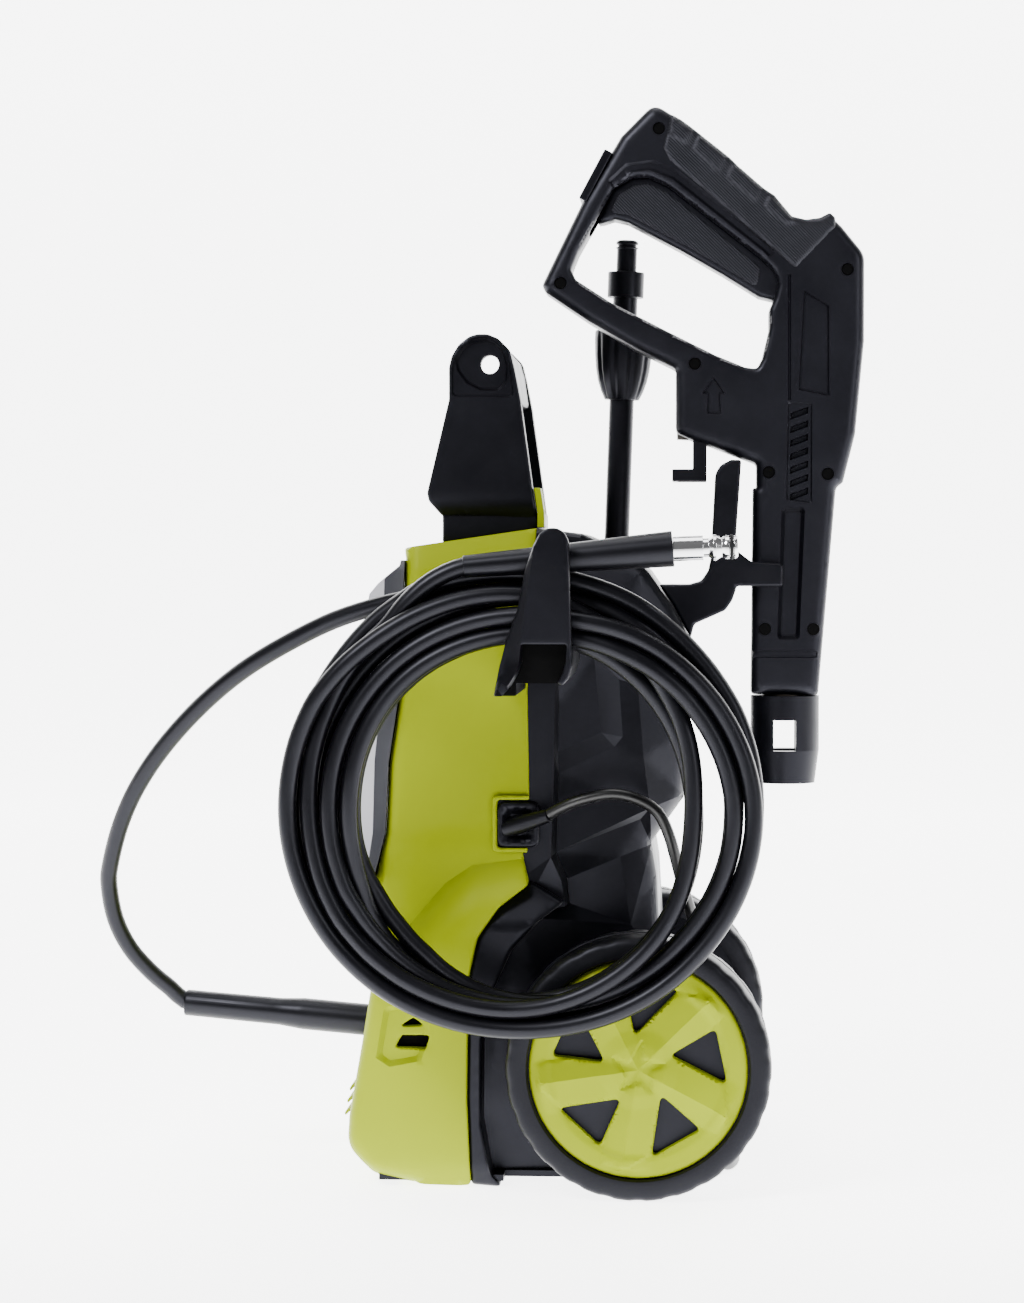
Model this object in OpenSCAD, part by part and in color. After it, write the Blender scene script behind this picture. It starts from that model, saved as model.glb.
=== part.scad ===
// Compact electric pressure washer with its hose, spray gun and lance stowed on the machine.
// The origin is the middle of the front foot's underside. X points to the rear, where the wheels are,
// Y points to the far side, and Z points up.

/* [Casing] */
// Thickness of the casing walls
wall = 2.5; // [2:0.1:3]
// Width of the upper casing across its sides
upper_w = 186; // [180:1:188]
// Width of the lower casing over the two front fenders
lower_w = 220; // [212:1:224]
// Width of the rear casing where it passes between the wheels
waist_w = 180; // [170:1:184]

/* [Wheels] */
// Radius of the wheels
wheel_r = 73; // [70:0.5:73]
// Width of each wheel
wheel_w = 42; // [38:1:42]
// Distance from the middle of the machine to the inner face of a wheel
wheel_y = 98; // [96:1:100]
// Radius of the wheel axle
axle_r = 5; // [4:0.25:6]
// Running clearance of a turning hub on its shaft
running_gap = 0.05; // [0.03:0.01:0.08]

/* [Carry handle] */
// Distance from the middle to the outer face of a handle arm
handle_y = 69; // [66:1:72]
// Thickness of a handle arm
arm_t = 12; // [10:1:13]
// Wall thickness of the hollow hand grip that joins the arms
grip_wall = 3; // [2.5:0.25:3.5]
// Radius of the hanging eye in the near arm
eye_r = 5.3; // [4:0.1:6]

/* [Hose] */
// Outer diameter of the high-pressure hose
hose_d = 10; // [9:0.5:10]
// Outer radius of the hung hose coil
coil_r = 127; // [125:0.5:127]
// Inner radius of the hung hose coil
coil_hole_r = 90; // [88:0.5:92]

/* [Spray gun] */
// Width of the gun across its two shells
gun_w = 36; // [34:0.5:37]
// Thickness of the gun shell walls
gun_wall = 4; // [3:0.25:4.5]
// Radius of the bayonet bore that takes a lance
bayonet_r = 11.6; // [11.4:0.1:12]
// Radius of the port that takes the hose plug
port_r = 6.3; // [6.2:0.05:6.4]

/* [Lance] */
// Outer radius of the lance tube
lance_r = 7.3; // [6.5:0.1:7.4]
// Sideways place of the stowed lance
lance_y = 38; // [37.5:0.1:39]

/* [Mains lead] */
// Outer diameter of the mains lead
lead_d = 6.5; // [6:0.25:6.75]

/* [Hidden] */
$fn = 48;

lime = "yellowgreen";
shell_grey = "dimgray";
dark = "#2b2b2e";

// Side outlines are [x, z] points, counter-clockwise with the rear to the right.
casing_outline = [[-9, 2], [87, 3], [118, 12], [128, 30], [130, 120], [127, 173], [124, 191],
    [142, 216], [146, 306], [136, 325], [122, 345], [112, 354], [85, 366], [60, 369], [-15, 358],
    [-17, 348], [-29, 338], [-34, 332], [-39, 300], [-45, 225], [-42, 205], [-32, 168], [-33, 109], [-37, 84],
    [-45, 39], [-46, 22], [-31, 6]];
// The line down each side where the front cover meets the rear cover.
seam = [[60, 371], [55, 278], [56, 217], [52, 189], [53, 183], [56, 170], [40, 158], [28, 141],
    [23, 118], [22, 51], [24, 0]];
// The rounded top of the hose hanger's front plate.
hanger_top = [[82, 361], [80, 365.5], [76, 368], [71, 368], [66.5, 364], [64, 359]];
// The line where the front panel and its trim meet the front cover.
panel_edge = [[-32, 168], [-25, 198], [-23, 238], [-17, 278], [-14, 351]];
trim_edge = [[-36, 168], [-32, 198], [-31, 238], [-27, 278], [-25, 351]];
// A handle arm, the section of the grip between the arms, and the dish round the hanging eye.
arm_outline = [[5, 379], [59, 376], [49.5, 442], [46, 460], [43.5, 470], [37, 476.5], [31, 479],
    [25, 479], [20.5, 477.7], [14.5, 473], [10.5, 466.5], [9, 460], [9, 442], [-3.5, 389], [-2.5, 384.5]];
grip_section = [[12, 446], [46, 444], [43, 461], [40.5, 469], [35.5, 474], [30.5, 476], [25.5, 476],
    [21.5, 474.5], [16.5, 470.5], [13, 465]];
eye_dish = [[27, 447], [37, 447], [42, 453], [42.5, 461], [40, 468.5], [35, 473.5], [30, 475.5],
    [25, 475.5], [20, 474], [15, 470], [12.5, 464], [13.5, 458.5], [19, 451]];
// Half of the casing seen from the front, as [y, z] points from the floor up.
lower_half = lower_w / 2;
upper_half = upper_w / 2;
waist_half = waist_w / 2;
half_front = [[lower_half - 6, 2], [lower_half, 12], [lower_half, 150], [upper_half + 2, 186],
    [upper_half, 200], [upper_half - 1, 345], [upper_half - 12, 372]];

axle_at = [118, 73];
motor_x = 30;
eye_at = [32, 462];
// Half width and spacing of the small fins low on the front.
fin_half = 62;
fin_pitch = 7;
foot_w = 28;
foot_len = 140;
tray_z = 3.5;
tray_t = 3.5;
head_z = 60;
head_top = 102;
housing_top = 152;
can_top = 274;
piston_circle = 22;
piston_r = 8;
shaft_r = 6;
outlet_y = -25;
outlet_z = 82;
inlet_z = 94;
inlet_r = 13.2;
knob_z = 250;
panel_x = -44.6;
lance_x = 101.5;
lance_top_z = 367;
lance_lean = 2;
roof_at = [[-15, 358], [60, 369]];
coil_at = [56, 216];
coil_y = [-178, -147];
plate_y = -upper_half - 2;
plug_y = 170;
plug_z = 16.25;
lead_coil_at = [108, 222];
lead_coil_r = [22.5, 55.5];
lead_coil_h = 26.5;

// The hose from the tip of its outlet sleeve, round the free loop, to the hung coil.
hose_route = [[-140, -25, 91], [-150, -26, 93], [-158, -30, 101], [-168, -36, 111],
    [-179, -44, 126], [-186, -52, 144], [-188, -60, 164], [-186, -66, 177], [-178, -76, 201],
    [-166, -86, 224], [-148, -97, 248], [-123, -110, 273], [-95, -123, 294], [-58, -136, 314],
    [-31, -146, 324], [-5, -155, 330], [4, -158, 328]];
// The hose from the outside of the coil to the connector sleeve.
tail_route = [[-14, -167, 318], [-5, -168, 329], [8, -168, 340], [25, -168, 347.5]];
// The mains lead from its strain relief, round the rear of the casing and along the floor.
lead_route = [[68, -108, 210], [79, -112, 216], [91, -114, 220], [104, -115, 222],
    [117, -114, 219], [128, -112, 212], [134, -110, 200], [138, -107, 186], [142, -102, 170],
    [147, -94, 152], [150, -84, 134], [151, -76, 110], [151, -71, 75], [153, -68, 40],
    [158, -62, 16], [166, -50, 5], [171, -32, 3.4], [172, 0, 3.4], [172, 60, 3.4],
    [172, 110, 3.4], [171, 150, 3.4], [168, 180, 3.4], [164, 203, 3.4], [160, 222, 3.4]];

gun_half = gun_w / 2;
barrel_x = 201;
inlet_x = 147;
// Spray gun outlines, also [x, z] and counter-clockwise.
gun_outline = [[59, 511], [61, 507], [86, 490], [113, 474], [137, 462], [137, 425], [146, 421],
    [158, 417], [184, 407], [184, 393], [182, 393], [181, 272], [220, 272], [230, 393],
    [234, 396], [241, 424], [246, 478], [246, 528], [233, 544], [228, 543], [207, 541],
    [192, 559], [171, 578], [150, 594], [138, 603], [124, 616], [105, 597], [83, 560]];
gun_window = [[76, 520], [79, 514], [99, 501], [132, 484], [160, 470], [177, 463], [184, 462],
    [187, 468], [191, 485], [191, 496], [194, 503], [195.5, 511], [194, 518], [186, 526],
    [132, 568], [121, 573], [112, 573], [101, 567], [92, 551], [80, 530]];
trigger_well = [[89, 547], [185, 504], [191, 498], [207, 499], [207, 516], [190, 546], [170, 563],
    [135, 590], [118, 594], [108, 588], [97, 570]];
trigger_outline = [[90, 546], [101, 549.5], [109, 547.5], [140, 531], [164, 517], [185, 504],
    [199, 500.5], [203, 512], [196, 520], [188, 527], [134, 569], [122, 575], [111, 574],
    [100, 567]];
trigger_pivot = [199, 507];
barrel_cavity = [[185.5, 296], [216, 296], [225, 392], [228, 470], [212, 498], [206, 515],
    [192, 500], [193, 460], [186, 440]];
overmould_outline = [[129, 590], [133, 582], [205, 520], [209, 520], [229, 543], [229, 550],
    [221, 550], [212, 548], [204, 551], [196, 560], [190, 567], [188, 565], [170, 583], [166, 585],
    [155, 597], [151, 598], [140, 607], [133, 610]];
gun_screw_at = [[127, 601], [70, 512], [236, 519], [148, 465], [191, 402], [225, 401], [189, 311],
    [217, 311]];

// Points of an outline moved inwards by d along its edges.
function unit(v) = v / norm(v);
function inward(a, b) = let(d = unit(b - a)) [-d[1], d[0]];
function inset(p, d) = [for (i = [0:len(p) - 1])
    let(a = p[(i + len(p) - 1) % len(p)], c = p[(i + 1) % len(p)],
        m = inward(a, p[i]), n = inward(p[i], c))
    p[i] + d * (m + n) / (1 + m * n)];
// Height of the flat roof of the casing at x, and a point s along and v out from the gun's butt.
function roof(x) = roof_at[0][1] + (x - roof_at[0][0]) * (roof_at[1][1] - roof_at[0][1])
    / (roof_at[1][0] - roof_at[0][0]);
function on_butt(s, v) = [83 + 0.4716 * s - 0.8818 * v, 560 + 0.8818 * s + 0.4716 * v];
function mirrored(p) = [for (i = [len(p) - 1:-1:0]) [-p[i][0], p[i][1]]];
function reversed(p) = [for (i = [len(p) - 1:-1:0]) p[i]];

// A side outline given thickness from y0 to y1.
module slab(y0, y1) {
    translate([0, y1, 0]) rotate([90, 0, 0]) linear_extrude(y1 - y0) children();
}
module rod_x(at, r, len) {
    translate(at) rotate([0, 90, 0]) cylinder(r = r, h = len);
}
module rod_y(x, z, r, y0, y1) {
    translate([x, y0, z]) rotate([-90, 0, 0]) cylinder(r = r, h = y1 - y0);
}
module rod_z(at, r, len) {
    translate(at) cylinder(r = r, h = len);
}
// A tube swept along a route, with a ring of eight corners at each point.
function along(route, i) = let(n = len(route) - 1)
    unit(route[min(i + 1, n)] - route[max(i - 1, 0)]);
function bow(route, i, t) = let(n = len(route) - 1, a = route[max(i - 1, 0)], b = route[i],
        c = route[min(i + 1, n)], d = route[min(i + 2, n)])
    0.5 * (2 * b + (c - a) * t + (2 * a - 5 * b + 4 * c - d) * t * t
        + (3 * b - a - 3 * c + d) * t * t * t);
function smooth(route, step) = [for (i = [0:len(route) - 2])
    let(n = max(1, round(norm(route[i + 1] - route[i]) / step)))
    for (k = [0:n - 1]) bow(route, i, k / n), route[len(route) - 1]];
module tube_along(route, d, step) {
    path = smooth(route, step);
    corners = 8;
    count = len(path);
    points = [for (i = [0:count - 1])
        let(t = along(path, i), side = unit(cross(t, [0.31, 0.83, 0.47])), up = cross(t, side))
        for (k = [0:corners - 1])
            path[i] + d / 2 * (cos(k * 360 / corners) * side + sin(k * 360 / corners) * up)];
    sides = [for (i = [0:count - 2]) for (k = [0:corners - 1])
        let(a = i * corners + k, b = i * corners + (k + 1) % corners)
        each [[a, a + corners, b + corners], [a, b + corners, b]]];
    first = [for (k = [0:corners - 1]) k];
    last = [for (k = [corners - 1:-1:0]) (count - 1) * corners + k];
    polyhedron(points, concat([first, last], sides), convexity = 6);
}

// Everything inside the casing's outer skin, moved in by t.
module casing_mass(t) {
    front_view = inset(concat(half_front, mirrored(half_front)), t);
    intersection() {
        slab(-130, 130) polygon(inset(casing_outline, t));
        translate([-60, 0, 0]) rotate([90, 0, 90]) linear_extrude(220) polygon(front_view);
    }
}
// The space outside the rear casing where each wheel turns.
module wheel_space(side) {
    y0 = side < 0 ? -lower_half - 5 : waist_half;
    rod_y(axle_at[0], axle_at[1], wheel_r + 8, y0, y0 + lower_half + 5 - waist_half);
    slab(y0, y0 + lower_half + 5 - waist_half)
        polygon([[50, -5], [170, -5], [170, 188], [84, 188], [77, 176], [70, 158], [56, 136],
            [46, 110], [42, 60]]);
}
module casing_skin() {
    difference() {
        casing_mass(0);
        casing_mass(wall);
        translate([-30, -lower_half + 8, -5]) cube([148, lower_w - 16, 13]);
    }
}
module front_region() {
    slab(-130, 130) polygon(concat([[-80, -2]], reversed(seam), [[-80, 371]]));
}
module grommet_window(gap) {
    translate([38 - gap, -upper_half - 6, 190 - gap])
        cube([24 + 2 * gap, 12, 26 + 2 * gap]);
}

module front_cover() {
    color(lime) difference() {
        union() {
            intersection() {
                casing_skin();
                front_region();
            }
            for (k = [0:2])
                slab(-fin_half, fin_half) polygon([[-43 + k, 36.5 + fin_pitch * k],
                    [-43 + k, 39 + fin_pitch * k], [-51.5 + 1.4 * k, 34.7 + fin_pitch * k],
                    [-51.5 + 1.4 * k, 32.5 + fin_pitch * k]]);
        }
        slab(-130, 130) polygon(concat([[-80, 168]], panel_edge, [[-80, 351]]));
        grommet_window(0.3);
        rod_x([-60, outlet_y, outlet_z], 10.2, 30);
        for (k = [0:2])
            translate([-47, -fin_half, 32.2 + fin_pitch * k]) cube([12, 2 * fin_half, 3.6]);
        for (side = [-1, 1], k = [0:2])
            slab(side * lower_half - 4, side * lower_half + 4)
                polygon([[-20 + 5 * k, 75 + 7 * k], [2, 75 + 7 * k], [4, 79 + 7 * k],
                    [-16 + 5 * k, 79 + 7 * k]]);
    }
}
module rear_cover() {
    color(dark) difference() {
        union() {
            difference() {
                casing_skin();
                front_region();
                for (side = [-1, 1])
                    wheel_space(side);
            }
            for (side = [-1, 1])
                intersection() {
                    casing_mass(0);
                    slab(side * waist_half - wall / 2, side * waist_half + wall / 2)
                        polygon([[30, 9], [117, 9], [129, 31], [131, 120], [128, 173],
                            [124, 190], [60, 190], [56, 168], [42, 155], [30, 138], [26, 118]]);
                }
        }
        grommet_window(0.3);
        rod_y(axle_at[0], axle_at[1], axle_r + 0.3, -130, 130);
        rod_x([110, 0, inlet_z], inlet_r + 0.3, 40);
        lance_frame() rod_z([0, 0, -60], 15.3, 80);
    }
}
module front_panel() {
    color("gainsboro") difference() {
        intersection() {
            casing_skin();
            slab(-130, 130) polygon(concat([[-80, 168]], trim_edge, [[-80, 351]]));
        }
        rod_x([panel_x - 20, 0, knob_z], 9.3, 40);
    }
}
module panel_trim() {
    color("gray") intersection() {
        casing_skin();
        slab(-130, 130) polygon(concat(panel_edge, reversed(trim_edge)));
    }
}
module base_tray() {
    color(dark) difference() {
        union() {
            translate([-28, -lower_half + 10, tray_z]) cube([70, lower_w - 20, tray_t]);
            translate([40, -waist_half + 4, tray_z]) cube([53, waist_w - 8, tray_t]);
            for (side = [-1, 1])
                slab(side * (waist_half - 8) - 5, side * (waist_half - 8) + 5)
                    polygon([[80, tray_z], [93, tray_z], [93, 10], [100, 11.5], [108, 14.6], [122, 34],
                        [125, 60], [125, 86], [108, 86]]);
            rod_z([motor_x, 0, tray_z], 40, head_z - tray_z);
        }
        rod_z([motor_x, 0, tray_z + tray_t], 36, head_z);
        rod_y(axle_at[0], axle_at[1], axle_r, -130, 130);
        for (x = [-18, 72], side = [-1, 1])
            rod_z([x, side * 72, 0], 2.2, 20);
    }
}
module front_foot() {
    color("black")
        translate([-foot_w / 2, -foot_len / 2, 0]) cube([foot_w, foot_len, tray_z]);
}
module axle() {
    color("silver")
        rod_y(axle_at[0], axle_at[1], axle_r, -wheel_y - 35, wheel_y + 35);
}
module axle_clips() {
    color("gray") for (side = [-1, 1])
        rod_ring_y(axle_at, axle_r, axle_r + 3.5, side * (wheel_y + 33) - 0.75,
            side * (wheel_y + 33) + 0.75);
}
module rod_ring_y(at, r_in, r_out, y0, y1) {
    difference() {
        rod_y(at[0], at[1], r_out, y0, y1);
        rod_y(at[0], at[1], r_in, y0 - 1, y1 + 1);
    }
}

module handle_arm(side) {
    inner = side * (handle_y - arm_t);
    foot = side * (handle_y - 5);
    slab(min(inner, side * handle_y), max(inner, side * handle_y)) polygon(arm_outline);
    slab(min(inner, foot), max(inner, foot))
        polygon([[5, roof(5)], [59, roof(59)], [59, 378], [5, 381]]);
}
module carry_handle() {
    color(dark) difference() {
        union() {
            for (side = [-1, 1])
                handle_arm(side);
            slab(-handle_y + arm_t, handle_y - arm_t) polygon(grip_section);
            slab(-handle_y + arm_t, handle_y - arm_t)
                polygon([[5, roof(5)], [59, roof(59)], [59, 376], [56, 384], [6, 378]]);
        }
        slab(-handle_y + arm_t, handle_y + 1) polygon(inset(grip_section, grip_wall));
        slab(-handle_y - 1, -handle_y + 3) polygon(eye_dish);
        rod_y(eye_at[0], eye_at[1], eye_r, -handle_y - 1, -handle_y + arm_t + 1);
    }
}
module handle_trim() {
    color(lime) difference() {
        slab(-handle_y + 2, -handle_y + 20)
            polygon([[59, 369.5], [63, 369.5], [63, 378], [61, 392], [56.6, 392]]);
        slab(-handle_y - 5, handle_y + 5)
            polygon([[5, 360], [59.2, 368], [59.2, 378.5], [49.7, 442], [0, 442]]);
    }
}
module hose_hanger() {
    color(dark) {
        slab(-192, -187) polygon(concat([[56, 299], [57, 306.5], [81, 306.5], [82, 299], [83.5, 299],
            [83, 320]], hanger_top, [[61, 340]]));
        slab(-187, -183) polygon(concat([[45, 294], [83.5, 294], [83, 320]], hanger_top,
            [[58, 343], [55, 325], [49, 308]]));
        slab(-183, -upper_half + 2) polygon([[42, 279], [54, 279], [54, 285], [57, 291], [57.5, 298],
            [80, 298], [79, 291.5], [76, 286], [79, 285], [82, 288.5], [84, 295], [84, 301.5],
            [48, 301.5], [45, 294]]);
        slab(-upper_half - 3, -upper_half + 2) polygon([[53, 286], [77, 286], [81, 300], [56, 300]]);
    }
}
module casing_screws() {
    color("silver") for (x = [-18, 72], side = [-1, 1]) {
        rod_z([x, side * 72, tray_z], 2.2, 12);
        rod_z([x, side * 72, tray_z - 1], 4, 1);
    }
}
module gun_bracket() {
    color(dark) {
        slab(-27, 27) polygon([[146, 306], [148, 314], [166, 322], [170, 328], [172, 334],
            [172, 365], [175, 409], [169, 409], [163, 406], [160, 401], [158, 362], [158, 354],
            [156, 345], [152, 339], [145, 337], [127.6, 337], [136, 325]]);
        for (side = [-1, 1])
            slab(side * 24 - 3, side * 24 + 3) polygon([[172, 336], [199, 336], [199, 349],
                [181, 350], [172, 357]]);
    }
}
module lance_frame() {
    translate([lance_x, lance_y, lance_top_z]) rotate([0, lance_lean, 0]) children();
}
module lance_socket() {
    color(shell_grey) lance_frame() difference() {
        rod_z([0, 0, -154], 15, 150);
        rod_z([0, 0, -150.3], 12.4, 165);
    }
}
module cord_grommet() {
    color("black") difference() {
        translate([38, plate_y, 190]) cube([24, 4.5, 26]);
        relief_frame() rod_z([0, 0, -12], 3.2, 12);
    }
}
module relief_frame() {
    translate([50, -96.5, 203]) rotate([0, 73, -31]) children();
}
module strain_relief() {
    color("black") difference() {
        relief_frame() rotate_extrude()
            polygon([[0, -8], [5.4, -8], [5.1, 3], [3.8, 22], [0, 22]]);
        translate([0, plate_y, 150]) cube([100, 30, 100]);
    }
}
module power_cord() {
    color("black") tube_along(lead_route, lead_d, 18);
}
module cord_coil() {
    color("black") translate([lead_coil_at[0], lead_coil_at[1], 0]) rotate_extrude()
        polygon([[lead_coil_r[0], 0.2], [lead_coil_r[1], 0.2], [lead_coil_r[1], lead_coil_h],
            [lead_coil_r[0], lead_coil_h]]);
}
module mains_plug() {
    color("black") translate([66, plug_y, plug_z]) rotate([0, -90, 0])
        rotate_extrude() polygon([[0, 0], [4.4, 0], [7.5, 28], [12, 32], [15.5, 44], [16, 58],
            [15, 64], [0, 64]]);
    color("silver") for (side = [-1, 1])
        rod_x([-17, plug_y + side * 9.5, plug_z], 2.4, 20);
}
module hose_lead() {
    color("black") tube_along(hose_route, hose_d, 22);
}
module hose_coil() {
    color("black") difference() {
        rod_y(coil_at[0], coil_at[1], coil_r, coil_y[0], coil_y[1]);
        rod_y(coil_at[0], coil_at[1], coil_hole_r, coil_y[0] - 1, coil_y[1] + 1);
    }
}
module hose_tail() {
    color("black") tube_along(tail_route, hose_d, 22);
}
module outlet_sleeve() {
    color("black") translate([-38, outlet_y, outlet_z]) rotate([0, -85, 0])
        rotate_extrude() polygon([[5, 0], [9.2, 0], [9.2, 42], [7.9, 56], [7.6, 111], [7.1, 112], [5, 112]]);
}
module connector_sleeve() {
    color("black") translate([25, -168, 347.5]) rotate([0, 85.1, 0])
        rotate_extrude() polygon([[5, 0], [6, 0], [9.6, 112.3], [0, 112.3], [0, 24], [5, 24]]);
}
module hose_nipple() {
    color("silver") translate([136.9, -168, 357]) rotate([0, 88, 0])
        rotate_extrude() polygon([[0, 0], [6.6, 0], [6.6, 16], [5, 16], [5, 19], [6.9, 21.5],
            [6.9, 23], [5.2, 26], [6.2, 28], [6.2, 30], [5, 30], [5, 32.5], [6.2, 32.5],
            [6.2, 33.5], [5.4, 34.5], [0, 34.5]]);
}
module nipple_oring() {
    color("black") translate([136.9, -168, 357]) rotate([0, 88, 0])
        rotate_extrude() translate([5.9, 31.25]) circle(r = 0.9);
}

module on_motor_axis(z) {
    translate([motor_x, 0, z]) children();
}
module outlet_pipe() {
    color("goldenrod") difference() {
        rod_x([-46, outlet_y, outlet_z], 9, 46);
        rod_x([-47, outlet_y, outlet_z], 4, 50);
        translate([-38, outlet_y, outlet_z]) rotate([0, -85, 0])
            translate([0, 0, -1]) cylinder(r = 12, h = 20);
        on_motor_axis(head_z - 1) cylinder(r = 42, h = 44);
    }
}
module pump_head() {
    color("silver") difference() {
        on_motor_axis(head_z) cylinder(r = 42, h = head_top - head_z);
        for (k = [0:2])
            piston_frame(k) rod_z([0, 0, 74], piston_r + running_gap, 40);
        rod_x([-40, outlet_y, outlet_z], 4, 40);
    }
}
module piston_frame(k) {
    translate([motor_x, 0, 0]) rotate([0, 0, 120 * k + 40])
        translate([piston_circle, 0, 0]) children();
}
module piston(k) {
    color("white") piston_frame(k) {
        rod_z([0, 0, 82], piston_r, 32);
        rod_z([0, 0, 114], 11, 3);
    }
}
module piston_1() { piston(0); }
module piston_2() { piston(1); }
module piston_3() { piston(2); }
module piston_springs() {
    color("silver") for (k = [0:2])
        piston_frame(k) difference() {
            rod_z([0, 0, head_top], 10.6, 11.5);
            rod_z([0, 0, head_top - 1], 9, 15);
        }
}
module swash_housing() {
    color("silver") on_motor_axis(0) difference() {
        rod_z([0, 0, head_top], 42, housing_top - head_top);
        rod_z([0, 0, head_top - 1], 38, housing_top - head_top - 3);
        rod_z([0, 0, head_top], shaft_r + running_gap, 60);
    }
}
module swash_plate() {
    color("gray") on_motor_axis(135) difference() {
        rotate([0, 8, 0]) cylinder(r = 30, h = 6);
        rod_z([0, 0, -10], shaft_r, 30);
    }
}
module rotor_shaft() {
    color("silver") on_motor_axis(133) cylinder(r = shaft_r, h = 165);
}
module rotor_core() {
    color("orangered") on_motor_axis(176) difference() {
        cylinder(r = 24, h = 64);
        rod_z([0, 0, -1], shaft_r, 70);
    }
}
module cooling_fan() {
    color("black") on_motor_axis(278) difference() {
        union() {
            cylinder(r = 38, h = 3);
            cylinder(r = 10, h = 16);
            for (k = [0:8])
                rotate([0, 0, 40 * k]) translate([9, -1, 0]) cube([28, 2, 14]);
        }
        rod_z([0, 0, -1], shaft_r, 20);
    }
}
module motor_can() {
    color("gray") on_motor_axis(housing_top) difference() {
        cylinder(r = 44, h = can_top - housing_top);
        rod_z([0, 0, 3], 38, 12);
        rod_z([0, 0, 15], 26, 80);
        rod_z([0, 0, 94], 38, can_top - housing_top - 97);
        rod_z([0, 0, -1], shaft_r + running_gap, 140);
    }
}
module water_inlet() {
    color("black") difference() {
        union() {
            rod_x([116, 0, inlet_z], inlet_r - 0.6, 20);
            rod_x([131, 0, inlet_z], inlet_r, 21);
            rod_x([motor_x + 36, 0, inlet_z], 7.5, 52);
            rod_x([120, 0, inlet_z], 15.5, 4);
        }
        on_motor_axis(head_z - 1) cylinder(r = 42, h = 44);
        rod_x([motor_x + 30, 0, inlet_z], 5, 62);
        rod_x([128, 0, inlet_z], 9.5, 30);
    }
}
module switch_body() {
    color("black") difference() {
        union() {
            translate([-37.5, -16, knob_z - 20]) cube([22, 32, 40]);
            rod_x([-41, 0, knob_z], 9, 5);
        }
        rod_x([-48, 0, knob_z], 3 + running_gap, 20);
    }
}
module switch_knob() {
    color("black") {
        rod_x([panel_x - 10, 0, knob_z], 18, 10);
        rod_x([panel_x - 1, 0, knob_z], 3, 16);
        translate([panel_x - 14, -4, knob_z - 17]) cube([6, 8, 34]);
    }
}

module wheel(side) {
    inner = side * wheel_y;
    color(dark) translate([axle_at[0], inner, axle_at[1]]) rotate([-side * 90, 0, 0])
        rotate_extrude() polygon([[axle_r + running_gap, 0], [14, 0], [14, 22], [66, 22],
            [66, 0], [69, 0], [wheel_r - 1, 5], [wheel_r, 10], [wheel_r, wheel_w - 7],
            [wheel_r - 2, wheel_w - 2], [68, wheel_w], [60.4, wheel_w], [60.4, 26], [14, 26],
            [14, 31.5], [axle_r + running_gap, 31.5]]);
}
module wheel_cover(side) {
    color(lime) translate([axle_at[0], side * (wheel_y + wheel_w), axle_at[1]])
        rotate([90, 0, 0]) mirror([0, 0, side < 0 ? 1 : 0]) difference() {
            cylinder(r = 60, h = 9);
            translate([0, 0, 2]) cylinder(r = 12, h = 10);
            for (k = [0:4])
                rotate([0, 0, 72 * k]) translate([0, 0, -1]) linear_extrude(12)
                    polygon([[21, 7], [43, 20.5], [47.5, -9.5]]);
        }
}
module near_wheel() { wheel(-1); }
module far_wheel() { wheel(1); }
module near_wheel_cover() { wheel_cover(-1); }
module far_wheel_cover() { wheel_cover(1); }

module gun_cavity(depth) {
    slab(-depth, depth) polygon(trigger_well);
    slab(-depth, depth) polygon(barrel_cavity);
    slab(-depth, depth) polygon([[141, 440], [186, 440], [193, 460], [181, 457], [141, 452]]);
}
module gun_shell(y0, y1) {
    color(shell_grey) difference() {
        slab(y0, y1) polygon(gun_outline);
        slab(-gun_half - 1, gun_half + 1) polygon(gun_window);
        slab(-gun_half - 2, gun_half + 2) polygon(overmould_outline);
        gun_cavity(gun_half - gun_wall);
        slab(-gun_half - 1, gun_half + 1)
            polygon([on_butt(-0.5, -2.5), on_butt(39, -2.5), on_butt(39, 9), on_butt(-0.5, 9)]);
        rod_z([inlet_x, 0, 400], 9.7, 48.5);
        for (side = [-1, 1])
            translate([146.7, side * 12.5 - 1.8, 400]) cube([8.6, 3.6, 38]);
        rod_z([barrel_x, 0, 260], 13.3, 37);
        rod_y(trigger_pivot[0], trigger_pivot[1], 3 + running_gap, -gun_half + 1, gun_half - 1);
        for (at = gun_screw_at) {
            rod_y(at[0], at[1], 1.6, -gun_half - 1, gun_half - 5);
            rod_y(at[0], at[1], 3.7, -gun_half - 1, -gun_half + 2.5);
        }
    }
}
module gun_shell_near() { gun_shell(-gun_half, 0); }
module gun_shell_far() { gun_shell(0, gun_half); }
module grip_overmould() {
    color("black") difference() {
        slab(-gun_half - 1.2, gun_half + 1.2) polygon(overmould_outline);
        gun_cavity(gun_half - gun_wall);
    }
}
module gun_valve() {
    color("goldenrod") difference() {
        union() {
            rod_z([inlet_x, 0, 421.5], 9.4, 26.5);
            rod_z([barrel_x, 0, 278], 8, 190);
            translate([inlet_x, -7, 441]) cube([54, 14, 7]);
            rod_z([barrel_x, 0, 263], 13, 16.5);
        }
        rod_z([inlet_x, 0, 410], port_r, 30);
        rod_z([barrel_x, 0, 262], 6.7, 26);
        rod_z([barrel_x, 0, 440], 3 + running_gap, 40);
    }
}
module valve_stem() {
    color("silver") {
        rod_z([barrel_x, 0, 454], 3, 40);
        rod_z([barrel_x, 0, 493], 5, 6);
    }
}
module trigger() {
    color(shell_grey) {
        slab(-11, 11) polygon(trigger_outline);
        rod_y(trigger_pivot[0], trigger_pivot[1], 6.5, -11, 11);
        rod_y(trigger_pivot[0], trigger_pivot[1], 3, -gun_half + 1.5, gun_half - 1.5);
    }
}
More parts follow.
